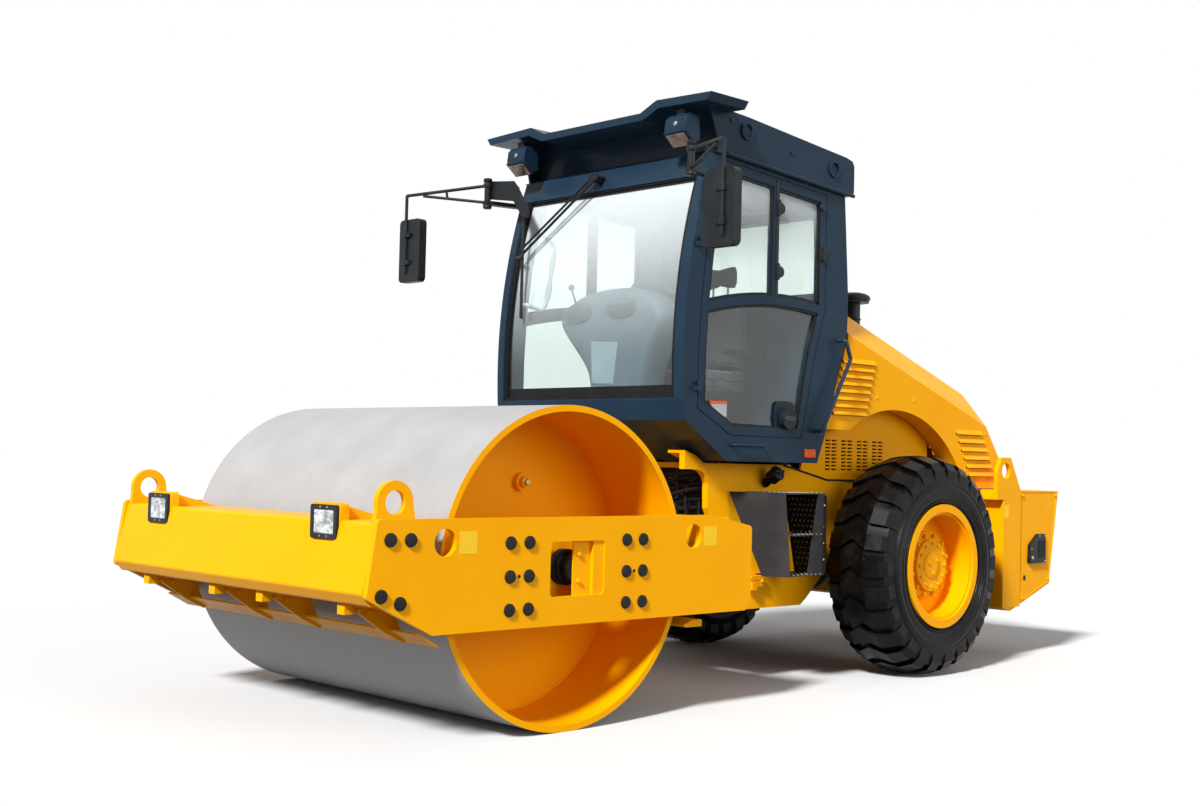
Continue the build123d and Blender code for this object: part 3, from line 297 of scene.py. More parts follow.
def box_mm(node):
    """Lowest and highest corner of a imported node."""
    return [[v / MM for v in corner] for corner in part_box(node)]


def middle_mm(node):
    """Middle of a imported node."""
    return [(a + b) / 2 for a, b in zip(*box_mm(node))]


# Places of the drum, the rear axle and the hitch, and the outer faces of what carries the small pieces
DRUM_X, _, DRUM_Z = middle_mm("drum_shell")
AXLE_X, _, AXLE_Z = middle_mm("rim_left")
HITCH_X = middle_mm("hitch_pins")[0]
PLATE_Y, CAB_Y, FRAME_Y, STEP_Y = [
    box_mm(node)[1][1] for node in ("side_plate_left", "cab_frame", "cab_brackets", "steps_left")]


def across(direction):
    """Unit vector along a direction, and two square to it."""
    along = Vector(direction).normalized()
    first = (Vector((0, 0, 1)) if abs(along.z) < 0.9 else Vector((1, 0, 0))).cross(along).normalized()
    return along, first, along.cross(first)


def circle(centre, first, second, radius, sides, squash=1.0):
    """Points of a circle in the plane of two directions; squash flattens it to an oval."""
    turns = (2 * math.pi * k / sides for k in range(sides))
    return [centre + (first * math.cos(a) + second * math.sin(a) * squash) * radius for a in turns]


def rounded(centre, width, height, radius, steps=5):
    """Rectangle with rounded corners, as (first, second) points."""
    points = []
    for corner, (u, v) in enumerate(((1, 1), (-1, 1), (-1, -1), (1, -1))):
        for step in range(steps):
            a = math.pi / 2 * (corner + step / (steps - 1))
            points.append((centre[0] + u * (width / 2 - radius) + radius * math.cos(a),
                           centre[1] + v * (height / 2 - radius) + radius * math.sin(a)))
    return points


def shifted(start, *points):
    """Points whose first coordinate is counted from a start."""
    return [(start + x, *rest) for x, *rest in points]


class Form:
    """One piece in the making: its faces, the body that it rides on and its finishes."""

    def __init__(self, name, body, *finishes, bevel_mm=0.0, levels=0, replaces=None):
        self.name, self.body, self.finishes = name, body, finishes
        self.bevel_mm, self.levels, self.replaces = bevel_mm, levels, replaces
        self.mesh = bmesh.new()

    def skin(self, rings, finish=0, looped=False):
        """Joins rings of points into a surface, with its two ends closed or joined."""
        rows = [[self.mesh.verts.new(Vector(point) * MM) for point in ring] for ring in rings]
        count = len(rows[0])
        made = [self.mesh.faces.new((low[i], low[(i + 1) % count], high[(i + 1) % count], high[i]))
                for low, high in zip(rows, rows[1:] + (rows[:1] if looped else [])) for i in range(count)]
        if not looped:
            made += [self.mesh.faces.new(rows[0][::-1]), self.mesh.faces.new(rows[-1])]
        for face in made:
            face.material_index = finish

    def turned(self, place, direction, profile, finish=0, sides=24, squash=1.0):
        """Turned form of (radius, height) pairs along a direction."""
        along, first, second = across(direction)
        self.skin([circle(Vector(place) + along * height, first, second, radius, sides, squash)
                   for radius, height in profile], finish)

    def hexagon(self, place, direction, width, height, finish=0):
        """Hexagon bolt head on its washer."""
        self.turned(place, direction, [(width * 0.62, 0), (width * 0.62, 2), (width * 0.56, 3)], finish)
        self.turned(Vector(place) + across(direction)[0] * 3, direction,
                    [(width * 0.56, 0), (width * 0.56, height * 0.8), (width * 0.48, height)], finish, 6)

    def bolt_ring(self, centre, side, radius, count, width, height, start=0.0, finish=0):
        """Hexagon heads on a ring about an axis along Y."""
        for step in range(count):
            a = 2 * math.pi * step / count + start
            self.hexagon((centre[0] + radius * math.cos(a), centre[1], centre[2] + radius * math.sin(a)),
                         (0, side, 0), width, height, finish)

    def prism(self, outline, axis, start, end, inset=0.0):
        """Outline of the two other coordinates, filled between two values of an axis; inset narrows its end."""
        middle = [sum(values) / len(outline) for values in zip(*outline)]
        small = [[m + (v - m) * (1 - inset) for v, m in zip(point, middle)] for point in outline]
        at = "xyz".index(axis)
        self.skin([[(*point[:at], level, *point[at:]) for point in points]
                   for points, level in ((outline, start), (small, end))])

    def border(self, outer, inner, start, end):
        """Border between two outlines across x, between two values of x."""
        self.skin([[(x, *point) for point in points] for points, x in
                   ((outer, start), (outer, end), (inner, end), (inner, start))], looped=True)

    def pipe(self, points, radius, finish=0, sides=12):
        """Round bar along points, with mitred corners."""
        points = [Vector(point) for point in points]
        runs = [(b - a).normalized() for a, b in zip(points, points[1:])]
        first = across(runs[0])[1]
        rings = []
        for point, before, after in zip(points, runs[:1] + runs, runs + runs[-1:]):
            along = (before + after).normalized()
            first = (first - along * first.dot(along)).normalized()
            rings.append(circle(point, first, along.cross(first), radius, sides))
        self.skin(rings, finish)

    def loop_pipe(self, points, radius, sides=8):
        """Round bar along a closed ring of points."""
        points = [Vector(point) for point in points]
        middle = sum(points, Vector()) / len(points)
        rings = []
        for before, point, after in zip(points[-1:] + points, points, points[1:] + points[:1]):
            along = (after - before).normalized()
            first = point - middle
            first = (first - along * first.dot(along)).normalized()
            rings.append(circle(point, first, along.cross(first), radius, sides))
        self.skin(rings, looped=True)

    def hoop(self, place, direction, radius, thickness, steps=72):
        """Round ring about a direction."""
        self.loop_pipe(circle(Vector(place), *across(direction)[1:], radius, steps), thickness)

    def end(self):
        """Ends the form as an object that rides on its body."""
        bmesh.ops.recalc_face_normals(self.mesh, faces=self.mesh.faces)
        mesh = bpy.data.meshes.new(self.name)
        self.mesh.to_mesh(mesh)
        self.mesh.free()
        for key in self.finishes:
            mesh.materials.append(MATERIALS[key])
        for polygon in mesh.polygons:
            polygon.use_smooth = True
        if not self.levels:
            mesh.set_sharp_from_angle(angle=SHARP_ANGLE)
        made = bpy.data.objects.new(self.name, mesh)
        bpy.context.scene.collection.objects.link(made)
        if self.bevel_mm:
            edge = made.modifiers.new("edges", "BEVEL")
            edge.width = self.bevel_mm * MM
            edge.segments = 2
            edge.limit_method = "ANGLE"
        if self.levels:
            smooth = made.modifiers.new("smooth", "SUBSURF")
            smooth.levels = smooth.render_levels = self.levels
        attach(made, self.body)
        if self.replaces:
            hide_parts(self.replaces)
        return made


def end_forms(*forms):
    """Ends the forms of an operator, which has then finished."""
    for form in forms:
        form.end()
    return {"FINISHED"}


def edge_loops(node, direction, spread=0.9):
    """Boundary loops of a node's faces that look along a direction, with the face normals at their points."""
    mesh = NODES[node].data
    places = {}
    normals = {}
    used = {}
    for polygon in mesh.polygons:
        if polygon.normal.dot(Vector(direction)) < spread:
            continue
        corners = []
        for index in polygon.vertices:
            place = mesh.vertices[index].co * 1000
            key = tuple(round(v, 1) for v in place)
            places[key] = place
            normals[key] = normals.get(key, Vector()) + polygon.normal * polygon.area
            corners.append(key)
        used.update({(a, b): True for a, b in zip(corners, corners[1:] + corners[:1]) if a != b})
    onward = {a: b for a, b in used if (b, a) not in used}
    loops = []
    while onward:
        start, after = onward.popitem()
        chain = [start]
        while after != start and after in onward:
            chain.append(after)
            after = onward.pop(after)
        if len(chain) > 2:
            loops.append(thin_out([(places[key], normals[key].normalized()) for key in chain]))
    return loops


def thin_out(loop):
    """Drops the points of a loop that lie on a straight run or close to the one before."""
    kept = []
    for (before, _), (point, normal), (after, _) in zip(loop[-1:] + loop, loop, loop[1:] + loop[:1]):
        before = kept[-1][0] if kept else before
        straight = (point - before).normalized().dot((after - point).normalized()) >= STRAIGHT
        if (point - before).length >= NEAREST and not straight:
            kept.append((point, normal))
    return [point for point, _ in kept], [normal for _, normal in kept]


def band(form, loop, normals, outward, inward, low, high):
    """Strip along a closed loop: so far out of and into it, between two heights on its surface."""
    rings = []
    for before, point, after, normal in zip(loop[-1:] + loop, loop, loop[1:] + loop[:1], normals):
        sides = [normal.cross((point - before).normalized()), normal.cross((after - point).normalized())]
        mean = (sides[0] + sides[1]).normalized()
        mean = mean / max(mean.dot(sides[0].normalized()), SHARPEST)
        rings.append([point + mean * reach + normal * level for reach, level in
                      ((-outward, low), (inward, low), (inward, high), (-outward, high))])
    form.skin(rings, looped=True)


class ROLLER_OT_finishes(bpy.types.Operator):
    """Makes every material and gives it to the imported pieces"""

    bl_idname = "roller.finishes"
    bl_label = "Finishes"

    def execute(self, context):
        colours = context.scene.roller_colours
        MATERIALS.update(
            body=enamel("body_enamel", colours.body, colours.body_shade, 0.38, 0.35, 0.02),
            cab=enamel("cab_enamel", colours.cab, "#30424F", 0.36, 0.4, 0.1),
            step=enamel("step_enamel", colours.step, "#55524F", 0.5, 0.6, 0.0),
            iron=enamel("black_oxide", "#17191B", "#2A2B2C", 0.45, 0.5, 0.0),
            plate=enamel("blank_label_vinyl", colours.plate, "#FFD648", 0.28, 0.3, 0.25),
            drum=machined_drum(colours.steel, colours.body, colours.body_shade),
            tyre=tyre_rubber(),
            rubber=plastic("epdm_rubber", "#0E0F10", "#1C1D1E", 0.6),
            black=plastic("black_polypropylene", "#15181B", "#23272B", 0.42),
            grey=plastic("grey_abs", "#39434C", "#454F58", 0.5),
            pale=plastic("light_grey_abs", "#A9AFB4", "#BCC1C5", 0.45),
            panel=plastic("mid_grey_abs", "#5E6870", "#69737B", 0.45),
            reflector=plastic("orange_prismatic_acrylic", "#E8560C", "#F0701C", 0.2, 4, 0.6),
            chrome=metal("hard_chrome", "#D8D8DA", 0.1, stretch=(1, 12, 12)),
            steel=metal("zinc_plated_steel", "#9A9B9C", 0.35),
            mirror=metal("silvered_mirror_glass", "#E4E8EA", 0.03),
            brass=metal("zinc_chromate_steel", "#B59A5E", 0.35),
            # Glass: heights in metres where the painted sky reflection starts and where it is full, then its
            # greatest share
            glass=safety_glass("tempered_glass", colours.glass, 2.45, 2.98, 0.7),
            front_glass=safety_glass("laminated_windshield_glass", colours.glass, 1.75, 2.95, 0.72),
            cloth=woven_cloth("woven_seat_cloth", "#1B1F23", "#343B42"),
            # Lamp lenses: the second colour of each is the dark tone of the painted reflection
            lens=lamp_glass("clear_lamp_lens", "#E4E8E8", "#8E9290"),
            amber=lamp_glass("smoked_amber_lamp_lens", "#9C8478", "#6B5A52"))
        for key, nodes in {
            "body": "drum_discs drum_mounts side_plate_left side_plate_right front_beam front_scraper "
                    "rear_beam rear_scraper hitch chassis cab_brackets counterweight rim_left rim_right "
                    "engine_side_panels hood",
            "drum": "drum_shell",
            "rubber": "isolators cab_mounts",
            "iron": "drum_motors steering_barrel_left steering_barrel_right rear_axle engine",
            "black": "front_lamps rear_lamps intake mirror_left mirror_right wiper steering_wheel seat_base "
                     "fuel_filler",
            "steel": "hitch_pins hood_hinges",
            "chrome": "steering_rod_left steering_rod_right",
            "tyre": "tyre_left tyre_right",
            "cab": "cab_frame door_frame side_window_frame cab_roof roof_lamps door_hinges grab_handles",
            "glass": "rear_glass door_glass side_window_glass",
            "front_glass": "windshield",
            "grey": "console",
            "cloth": "seat_cushion seat_back",
            "step": "steps_left steps_right",
        }.items():
            for node in nodes.split():
                NODES[node].data.materials.clear()
                NODES[node].data.materials.append(MATERIALS[key])
        return {"FINISHED"}


class ROLLER_OT_plate_fasteners(bpy.types.Operator):
    """Capped bolts, thin dark discs that paint the shade inside the dowel holes, and blank plates on the side
    plates
    """

    bl_idname = "roller.plate_fasteners"
    bl_label = "Side plate fasteners"

    def execute(self, context):
        sizes = context.scene.roller_sizes
        radius, height, edge = (v / MM for v in (sizes.bolt_radius, sizes.bolt_height, sizes.plate_side))
        cap = [(radius * 0.94, 0), (radius, 1.5), (radius, height * 0.5), (radius * 0.94, height * 0.8),
               (radius * 0.72, height * 0.95), (radius * 0.3, height)]
        places = [(x, z) for x in (-419, -308, 308, 419) for z in (888, 738, 590)]
        places += [(1072, 914), (968, 912), (1112, 682), (1015, 648)]
        bolts = Form("side_plate_bolts_and_painted_hole_shade", FRONT, "rubber")
        plates = Form("side_plate_blank_plates", FRONT, "plate")
        for side in SIDES:
            face = side * PLATE_Y
            for x, z in places:
                bolts.turned((DRUM_X + x, face, z), (0, side, 0), cap)
            # Painted shade: thin dark discs stand in for the dark inside of the dowel holes
            for x in (-364, 364):
                bolts.turned((DRUM_X + x, face, 738), (0, side, 0), [(9, 0), (8, 1)], sides=12)
            for x in (-907, 657):
                plates.prism(rounded((DRUM_X + x, DRUM_Z + 134), edge, edge, 5), "y", face, face + side * 0.8)
        return end_forms(bolts, plates)


class ROLLER_OT_front_lamps(bpy.types.Operator):
    """Lenses, bezels, screws and shrouds of the lamps in the front beam"""

    bl_idname = "roller.front_lamps"
    bl_label = "Front lamps"

    def execute(self, context):
        low, high = box_mm("front_lamps")
        face = high[0]
        lenses = Form("front_lamp_lenses", FRONT, "lens", bevel_mm=1.5)
        shrouds = Form("front_lamp_shrouds", FRONT, "body", bevel_mm=1.5)
        bezels = Form("front_lamp_bezels", FRONT, "black", "steel", bevel_mm=0.6)
        for side in SIDES:
            y, z = side * (high[1] - (high[2] - low[2]) / 2), (low[2] + high[2]) / 2
            lenses.prism(rounded((y, z), 160, 108, 10), "x", face - 24, face + 7, inset=0.04)
            shrouds.border(rounded((y, z), 218, 164, 16), rounded((y, z), 198, 144, 13), face - 50, face - 5)
            bezels.border(rounded((y, z), 200, 146, 12), rounded((y, z), 154, 102, 9), face - 12, face + 10)
            for u, v in ((-26, -62), (-26, 62), (26, -62), (26, 62)):
                bezels.turned((face + 9.5, y + u, z + v), (1, 0, 0), [(5, 0), (4.5, 1), (2, 1.4)], 1, 12)
        return end_forms(lenses, shrouds, bezels)


class ROLLER_OT_scraper_clamps(bpy.types.Operator):
    """Front scraper with its arms, clamp tabs and bolts"""

    bl_idname = "roller.scraper_clamps"
    bl_label = "Scraper clamps"

    def execute(self, context):
        arms = Form("front_scraper_blade_and_arms", FRONT, "body", bevel_mm=1.0, replaces="front_scraper")
        clamps = Form("scraper_clamp_tabs", FRONT, "body", bevel_mm=2.0)
        bolts = Form("scraper_clamp_bolts", FRONT, "body")
        front = DRUM_X + 1120
        parts = [(form, shifted(front, *points), half) for form, points, half in (
            (clamps, ((-46, 612), (-6, 634), (8, 628), (8, 586), (-46, 586)), 27),
            (clamps, ((2, 634), (2, 624), (-262, 592), (-262, 602)), 34),
            (arms, ((-10, 628), (-258, 596), (-330, 452), (-318, 446), (-215, 498), (-60, 600)), 8))]
        for y in (-868, -213, 213, 868):
            for form, outline, half in parts:
                form.prism(outline, "y", y - half, y + half)
            for x, z in ((-70, 606), (-130, 595)):
                for step in (-22, 22):
                    bolts.hexagon((front + x, y + step, z), (0.18, 0, -1), 22, 13)
        edge = box_mm("front_scraper")[1][1]
        arms.prism(shifted(DRUM_X, (772, 452), (774, 444), (890, 508), (886, 516)), "y", -edge, edge)
        return end_forms(arms, clamps, bolts)


class ROLLER_OT_drum_fittings(bpy.types.Operator):
    """Hub bolts, filler plugs and weld beads inside the drum's ends, and the motor's bolts and bracket"""

    bl_idname = "roller.drum_fittings"
    bl_label = "Drum fittings"

    def execute(self, context):
        bolts = Form("drum_hub_bolts", "drum", "body", "brass")
        beads = Form("drum_weld_beads", "drum", "body")
        motor = Form("drum_motor_bolts", FRONT, "body", "iron")
        low, high = box_mm("drum_shell")
        for side in SIDES:
            out = (0, side, 0)
            bolts.bolt_ring((DRUM_X, side * 635, DRUM_Z), side, 165, 12, 26, 11, start=math.pi / 12)
            bolts.hexagon((DRUM_X - 82, side * 650, DRUM_Z + 390), out, 30, 12, 1)
            for radius in ((high[0] - low[0]) / 2 - 31, 196):
                beads.hoop((DRUM_X, side * 601, DRUM_Z), (0, 1, 0), radius, 6)
            for x, z in ((-105, -85), (-105, 85), (65, -85), (65, 85)):
                motor.hexagon((DRUM_X + x, side * 990, DRUM_Z + z), out, 26, 14)
            motor.turned((DRUM_X - 20, side * 1030, DRUM_Z), out, [(78, 0), (78, 8), (66, 14)], 1)
            motor.prism(rounded((DRUM_X - 82, 762), 182, 276, 6), "y", side * 1092, side * 1100)
            motor.prism(rounded((DRUM_X - 132, 762), 66, 262, 6), "y", side * 1100, side * 1122)
            for z in (700, 826):
                motor.hexagon((DRUM_X - 22, side * 1100, z), out, 20, 12)
            motor.bolt_ring((DRUM_X - 20, side * 1038, DRUM_Z), side, 70, 6, 13, 8, finish=1)
        return end_forms(bolts, beads, motor)


class ROLLER_OT_glazing(bpy.types.Operator):
    """Rubber seals round every pane, the windshield's black border and the doorway's seal"""

    bl_idname = "roller.glazing"
    bl_label = "Window seals"

    def execute(self, context):
        width = context.scene.roller_sizes.seal_width / MM
        forms = []
        for node, direction, body, height in (
                ("door_glass", (0, 1, 0), "door", 13), ("side_window_glass", (0, -1, 0), REAR, 13),
                ("rear_glass", (-1, 0, 0), REAR, 9), ("windshield", (1, 0, 0), REAR, 12)):
            forms.append(Form(node + "_seals", body, "rubber", bevel_mm=1.2))
            for loop, normals in edge_loops(node, direction, 0.8):
                band(forms[-1], loop, normals, 2, width, -1, height)
        border = Form("windshield_black_border", REAR, "rubber")
        for loop, normals in edge_loops("windshield", (1, 0, 0), 0.8):
            band(border, loop, normals, 0, 34, 0.2, 0.7)
        low, high = box_mm("windshield")
        half = high[1] - 4
        rows = [(self.glass_x(low[2] + rise), low[2] + rise) for rise in (0, 17.5, 35, 52.5, 70)]
        border.skin([[(x + 0.2, -half, z), (x + 0.2, half, z), (x + 0.8, half, z), (x + 0.8, -half, z)]
                     for x, z in rows])
        seal = Form("doorway_seal", REAR, "rubber")
        for loop, normals in edge_loops("cab_frame", (0, 1, 0)):
            if max(point.z for point in loop) < box_mm("door_frame")[1][2] + 30:
                band(seal, loop, normals, 3, 0, -16, -3)
        return end_forms(*forms, border, seal)

    def glass_x(self, z):
        """Outer x of the windshield at a height, between its nearest points."""
        levels = {}
        for vertex in NODES["windshield"].data.vertices:
            key = round(vertex.co.z / MM)
            levels[key] = max(levels.get(key, -math.inf), vertex.co.x / MM)
        under = max([k for k in levels if k <= z] or [min(levels)])
        over = min([k for k in levels if k > z] or [max(levels)])
        share = 0 if over == under else (z - under) / (over - under)
        return levels[under] * (1 - share) + levels[over] * share


class ROLLER_OT_door_hardware(bpy.types.Operator):
    """Latches, knobs, handles and blank label of the cab door"""

    bl_idname = "roller.door_hardware"
    bl_label = "Door hardware"

    def execute(self, context):
        hardware = Form("door_latches_and_catches", "door", "black", bevel_mm=0.8)
        grips = Form("door_grips", "door", "grey", bevel_mm=1.0)
        label = Form("door_blank_label", "door", "pale")
        stripe = Form("door_blank_label_stripe", "door", "reflector")
        glass = CAB_Y - 12
        out = (0, 1, 0)
        # Sliding panes: channel, two catches, knob and the keeper on the rear rail
        hardware.prism([(-30, 2222), (-8, 2222), (-8, 2890), (-30, 2890)], "y", CAB_Y - 2, CAB_Y + 4)
        for z in (2727, 2363):
            hardware.prism(rounded((-24, z), 22, 96, 6), "y", CAB_Y + 2, CAB_Y + 14)
            hardware.turned((-44, CAB_Y - 4, z), out, [(30, 0), (33, 4), (33, 14), (27, 20), (10, 22)])
        hardware.turned((-421, glass, 2785), out, [(9, 0), (9, 12), (20, 16), (23, 24), (20, 32), (8, 36)])
        hardware.prism(rounded((-440, 2511), 46, 92, 8), "y", CAB_Y, CAB_Y + 14, inset=0.08)
        for z in (2488, 2534):
            hardware.prism(rounded((-438, z), 24, 30, 4), "y", CAB_Y + 14, CAB_Y + 20)
        # Round latch: surround on the glass, dish and grip bar
        x, z = -135, 1528
        hardware.prism(rounded((x + 8, z + 14), 176, 168, 40), "y", glass, glass + 6)
        hardware.turned((x, CAB_Y + 22, z), out, [(62, 0), (63, 4), (58, 7), (52, 6), (46, 3), (20, 3)],
                        sides=40)
        grips.prism(rounded((x, z), 100, 30, 13), "y", CAB_Y + 24, CAB_Y + 34, inset=0.1)
        grips.pipe([(x, CAB_Y - depth, z) for x, depth, z in
                    ((-296, 42, 1598), (-306, 74, 1606), (-320, 80, 1640), (-414, 80, 1940), (-424, 74, 1972),
                     (-430, 42, 1980))], 10)
        label.prism([(372, 1606), (512, 1602), (512, 1590), (452, 1532), (372, 1518)], "y", glass + 0.1,
                    glass + 0.6)
        stripe.prism([(372, 1606), (512, 1602), (512, 1584), (372, 1588)], "y", glass + 0.6, glass + 0.9)
        return end_forms(hardware, grips, label, stripe)


class ROLLER_OT_cab_trim(bpy.types.Operator):
    """Reflectors, inner hand rail, roof lamps, mirror glass and small cab trim"""

    bl_idname = "roller.cab_trim"
    bl_label = "Cab trim"

    def execute(self, context):
        reflectors = Form("cab_reflectors", REAR, "reflector", "steel", bevel_mm=0.8)
        trim = Form("cab_small_trim", REAR, "black", bevel_mm=0.8)
        housings = Form("roof_lamp_housings", REAR, "cab", bevel_mm=5.0, replaces="roof_lamps")
        lenses = Form("roof_lamp_lenses", REAR, "amber", bevel_mm=1.0)
        spots = Form("roof_lamp_spots", REAR, "steel")
        mirrors = Form("mirror_glasses", REAR, "mirror")
        rail = Form("inner_hand_rail", REAR, "pale")
        blade = Form("wiper_blade_and_spindle", REAR, "rubber")
        for side in SIDES:
            face = side * CAB_Y
            out = (0, side, 0)
            reflectors.prism(rounded((-353, 1332), 100, 50, 5), "y", face, face + side * 8, inset=0.05)
            for x in (-388, -318):
                reflectors.turned((x, face + side * 7, 1332), out, [(5, 0), (4, 2)], 1, sides=10)
            # Roof: lamp housing with its rim and stem, the lens under it, its front spot, and two lugs
            roof_y = side * 790
            y = side * (CAB_Y - 107.5)
            for form, half, points in (
                    (housings, 78, ((1868, 3012), (1916, 2996), (1986, 3052), (1992, 3068), (1984, 3126),
                                    (1960, 3150), (1876, 3150))),
                    (housings, 82, ((1908, 2990), (1914, 2984), (1996, 3050), (1994, 3058))),
                    (housings, 30, ((1905, 3150), (1950, 3150), (1950, 3186), (1905, 3186))),
                    (lenses, 66, ((1921, 2987), (1925, 2983), (1990, 3035), (1986, 3040)))):
                form.prism(shifted(AXLE_X, *points), "y", y - half, y + half)
            spots.turned((AXLE_X + 1986, y, 3098), (1, 0, 0.14), [(13, 0), (13, 3), (9, 5), (3, 6)], sides=20)
            trim.turned((AXLE_X + 1140, roof_y, 3056), out, [(12, 0), (12, 7), (7, 10)], sides=16)
            trim.turned((AXLE_X + 1668, roof_y, 3155), out, [(14, 0), (14, 5), (9, 8)], sides=16)
            # Mirror: glass in its rim, clamps on the rod, caps on the post
            x, head = 1006, (side * 1279, 2532)
            mirrors.prism(rounded(head, 182, 366, 26), "x", x, x - 1.5)
            trim.border(rounded(head, 205, 390, 30), rounded(head, 184, 368, 27), x + 2, x - 5)
            for z in (2440, 2610):
                trim.turned((1060, side * 1309, z), (0, 0, 1), [(15, 0), (17, 2), (17, 34), (15, 36)], 0, 16)
                trim.prism([(x, side * y) for x, y in ((1050, 1300), (1070, 1300), (1070, 1262), (1050, 1262))],
                           "z", z + 6, z + 30)
            for z, up in ((2960, 1), (2790, -1)):
                trim.turned((795, side * 845, z), (0, 0, up), [(25, -14), (27, -10), (27, 4), (20, 9), (8, 10)])
            trim.turned((795, side * 845, 2912), (0, 0, 1), [(25, 0), (27, 3), (27, 24), (25, 27)])
        # Folded plate that carries the right mirror's post, on two spacers
        plate = [(-866, 2956), (-866, 2846), (-640, 2812), (-560, 2704), (-508, 2700), (-505, 2745),
                 (-600, 2890), (-640, 2935)]
        trim.skin([[(745 - 0.083 * (y + 505) + depth, y, z) for y, z in plate] for depth in (0, 6)])
        for z in (2850, 2920):
            trim.turned((630, -752, z), (1, 0, 0), [(13, 0), (13, 138), (9, 142)], sides=16)
        # Hand rail behind the windshield, with its two grips
        bar = ((466, 2636), (392, 2604), (370, 2584), (372, 2540), (421, 2250), (436, 2206), (470, 2180),
               (586, 2200))
        rail.pipe([(474, -712, 2650), *((x, -690, z) for x, z in bar), (604, -712, 2204)], 13, sides=16)
        for grip in (((377, 2528), (392, 2440)), ((404, 2350), (418, 2262))):
            rail.pipe([(x, -690, z) for x, z in grip], 19, sides=16)
        blade.pipe(shifted(AXLE_X, (1960, -600, 2792), (1984, -582, 2470), (1996, -560, 2098)), 7, sides=8)
        blade.turned((AXLE_X + 1886, -85, 2905), (1, 0, 0), [(26, -24), (26, 0), (20, 6)])
        return end_forms(reflectors, trim, housings, lenses, spots, mirrors, rail, blade)


class ROLLER_OT_console(bpy.types.Operator):
    """Rounded steering console with its two instrument pods, panel and levers"""

    bl_idname = "roller.console"
    bl_label = "Console"

    def execute(self, context):
        low, high = box_mm("console")
        outline = [
            (-478, 2090), (-452, 2140), (-400, 2190), (-310, 2232), (-200, 2262), (-50, 2272), (100, 2272),
            (215, 2250), (300, 2216), (378, 2158), (426, 2092), (392, 2016), (330, 1940), (280, 1820),
            (250, 1690), (240, 1520), (232, 1330), (30, 1330), (-168, 1330), (-170, 1530), (-176, 1740),
            (-260, 1850), (-420, 2008)]
        centre_y, centre_z, lowest = -20, 1960, 1327
        cowl = Form("console_cowl", REAR, "grey", levels=2, replaces="console")
        cowl.skin([[(x, centre_y + (y - centre_y) * size, max(centre_z + (z - centre_z) * size, lowest))
                    for y, z in outline] for x, size in (
            (low[0] + 3, 0.8), (low[0] + 10, 0.9), (low[0] + 34, 0.97), (low[0] + 80, 1.0),
            (high[0] - 80, 1.0), (high[0] - 34, 0.97), (high[0] - 10, 0.9), (high[0] - 4, 0.8))])
        pods = Form("console_instrument_pods", REAR, "black")
        for y, z in ((-281, 2128), (88, 2140)):
            pods.turned((high[0] - 16, y, z), (1, 0, 0.12),
                        [(124, 0), (124, 12), (116, 18), (108, 14), (30, 13)], sides=40, squash=0.5)
        panel = Form("console_front_panel", REAR, "panel", bevel_mm=5.0)
        panel.prism([(-158, 1962), (66, 1952), (40, 1700), (-150, 1704)], "x", high[0] - 14, high[0] - 1,
                    inset=0.04)
        levers = Form("console_levers", REAR, "black")
        for x, y, lean in ((430, -410, -40), (360, 330, 60)):
            levers.pipe([(x, y, 2140), (x, y + lean * 0.3, 2220), (x + 6, y + lean, 2296)], 6)
            levers.turned((x + 6, y + lean, 2288), (0.05, lean / 300, 1),
                          [(7, 0), (16, 8), (19, 20), (15, 32), (6, 38)])
        levers.turned((AXLE_X + 1450, 60, 2190), (-1, 0, 1), [(48, 4), (50, 16), (40, 24), (12, 27)], 0, 32)
        return end_forms(cowl, pods, panel, levers)


class ROLLER_OT_wheel_fittings(bpy.types.Operator):
    """Hub cap bolts, wheel nuts, valve stems and the moulded rings of the tyre walls"""

    bl_idname = "roller.wheel_fittings"
    bl_label = "Wheel fittings"

    def execute(self, context):
        cap_ring = context.scene.roller_sizes.hub_bolt_ring / MM
        forms = []
        for side, name in ((1, "left"), (-1, "right")):
            body = "wheel_" + name
            middle = middle_mm("tyre_" + name)[1]
            bolts = Form("hub_bolts_" + name, body, "body", "steel")
            for out, *ring in ((125, cap_ring, 12, 17, 9, 0), (95, 183, 12, 26, 20, math.pi / 12),
                               (134, 48, 3, 20, 8, 0.4)):
                bolts.bolt_ring((AXLE_X, middle + side * out, AXLE_Z), side, *ring)
            bolts.turned((AXLE_X, middle + side * 125, AXLE_Z), (0, side, 0),
                         [(82, 0), (82, 4), (76, 8), (30, 9)], sides=40)
            bolts.pipe([(AXLE_X + x, middle + side * out, AXLE_Z + z)
                        for x, out, z in ((240, 38, 170), (236, 120, 167), (226, 168, 160))], 6, 1)
            rings = Form("tyre_wall_rings_" + name, body, "tyre")
            for face in SIDES:
                for radius, out in ((398, 211), (430, 215.5), (448, 217.8), (505, 216.5), (516, 214)):
                    rings.hoop((AXLE_X, middle + face * out, AXLE_Z), (0, 1, 0), radius, 4)
            forms += [bolts, rings]
        return end_forms(*forms)


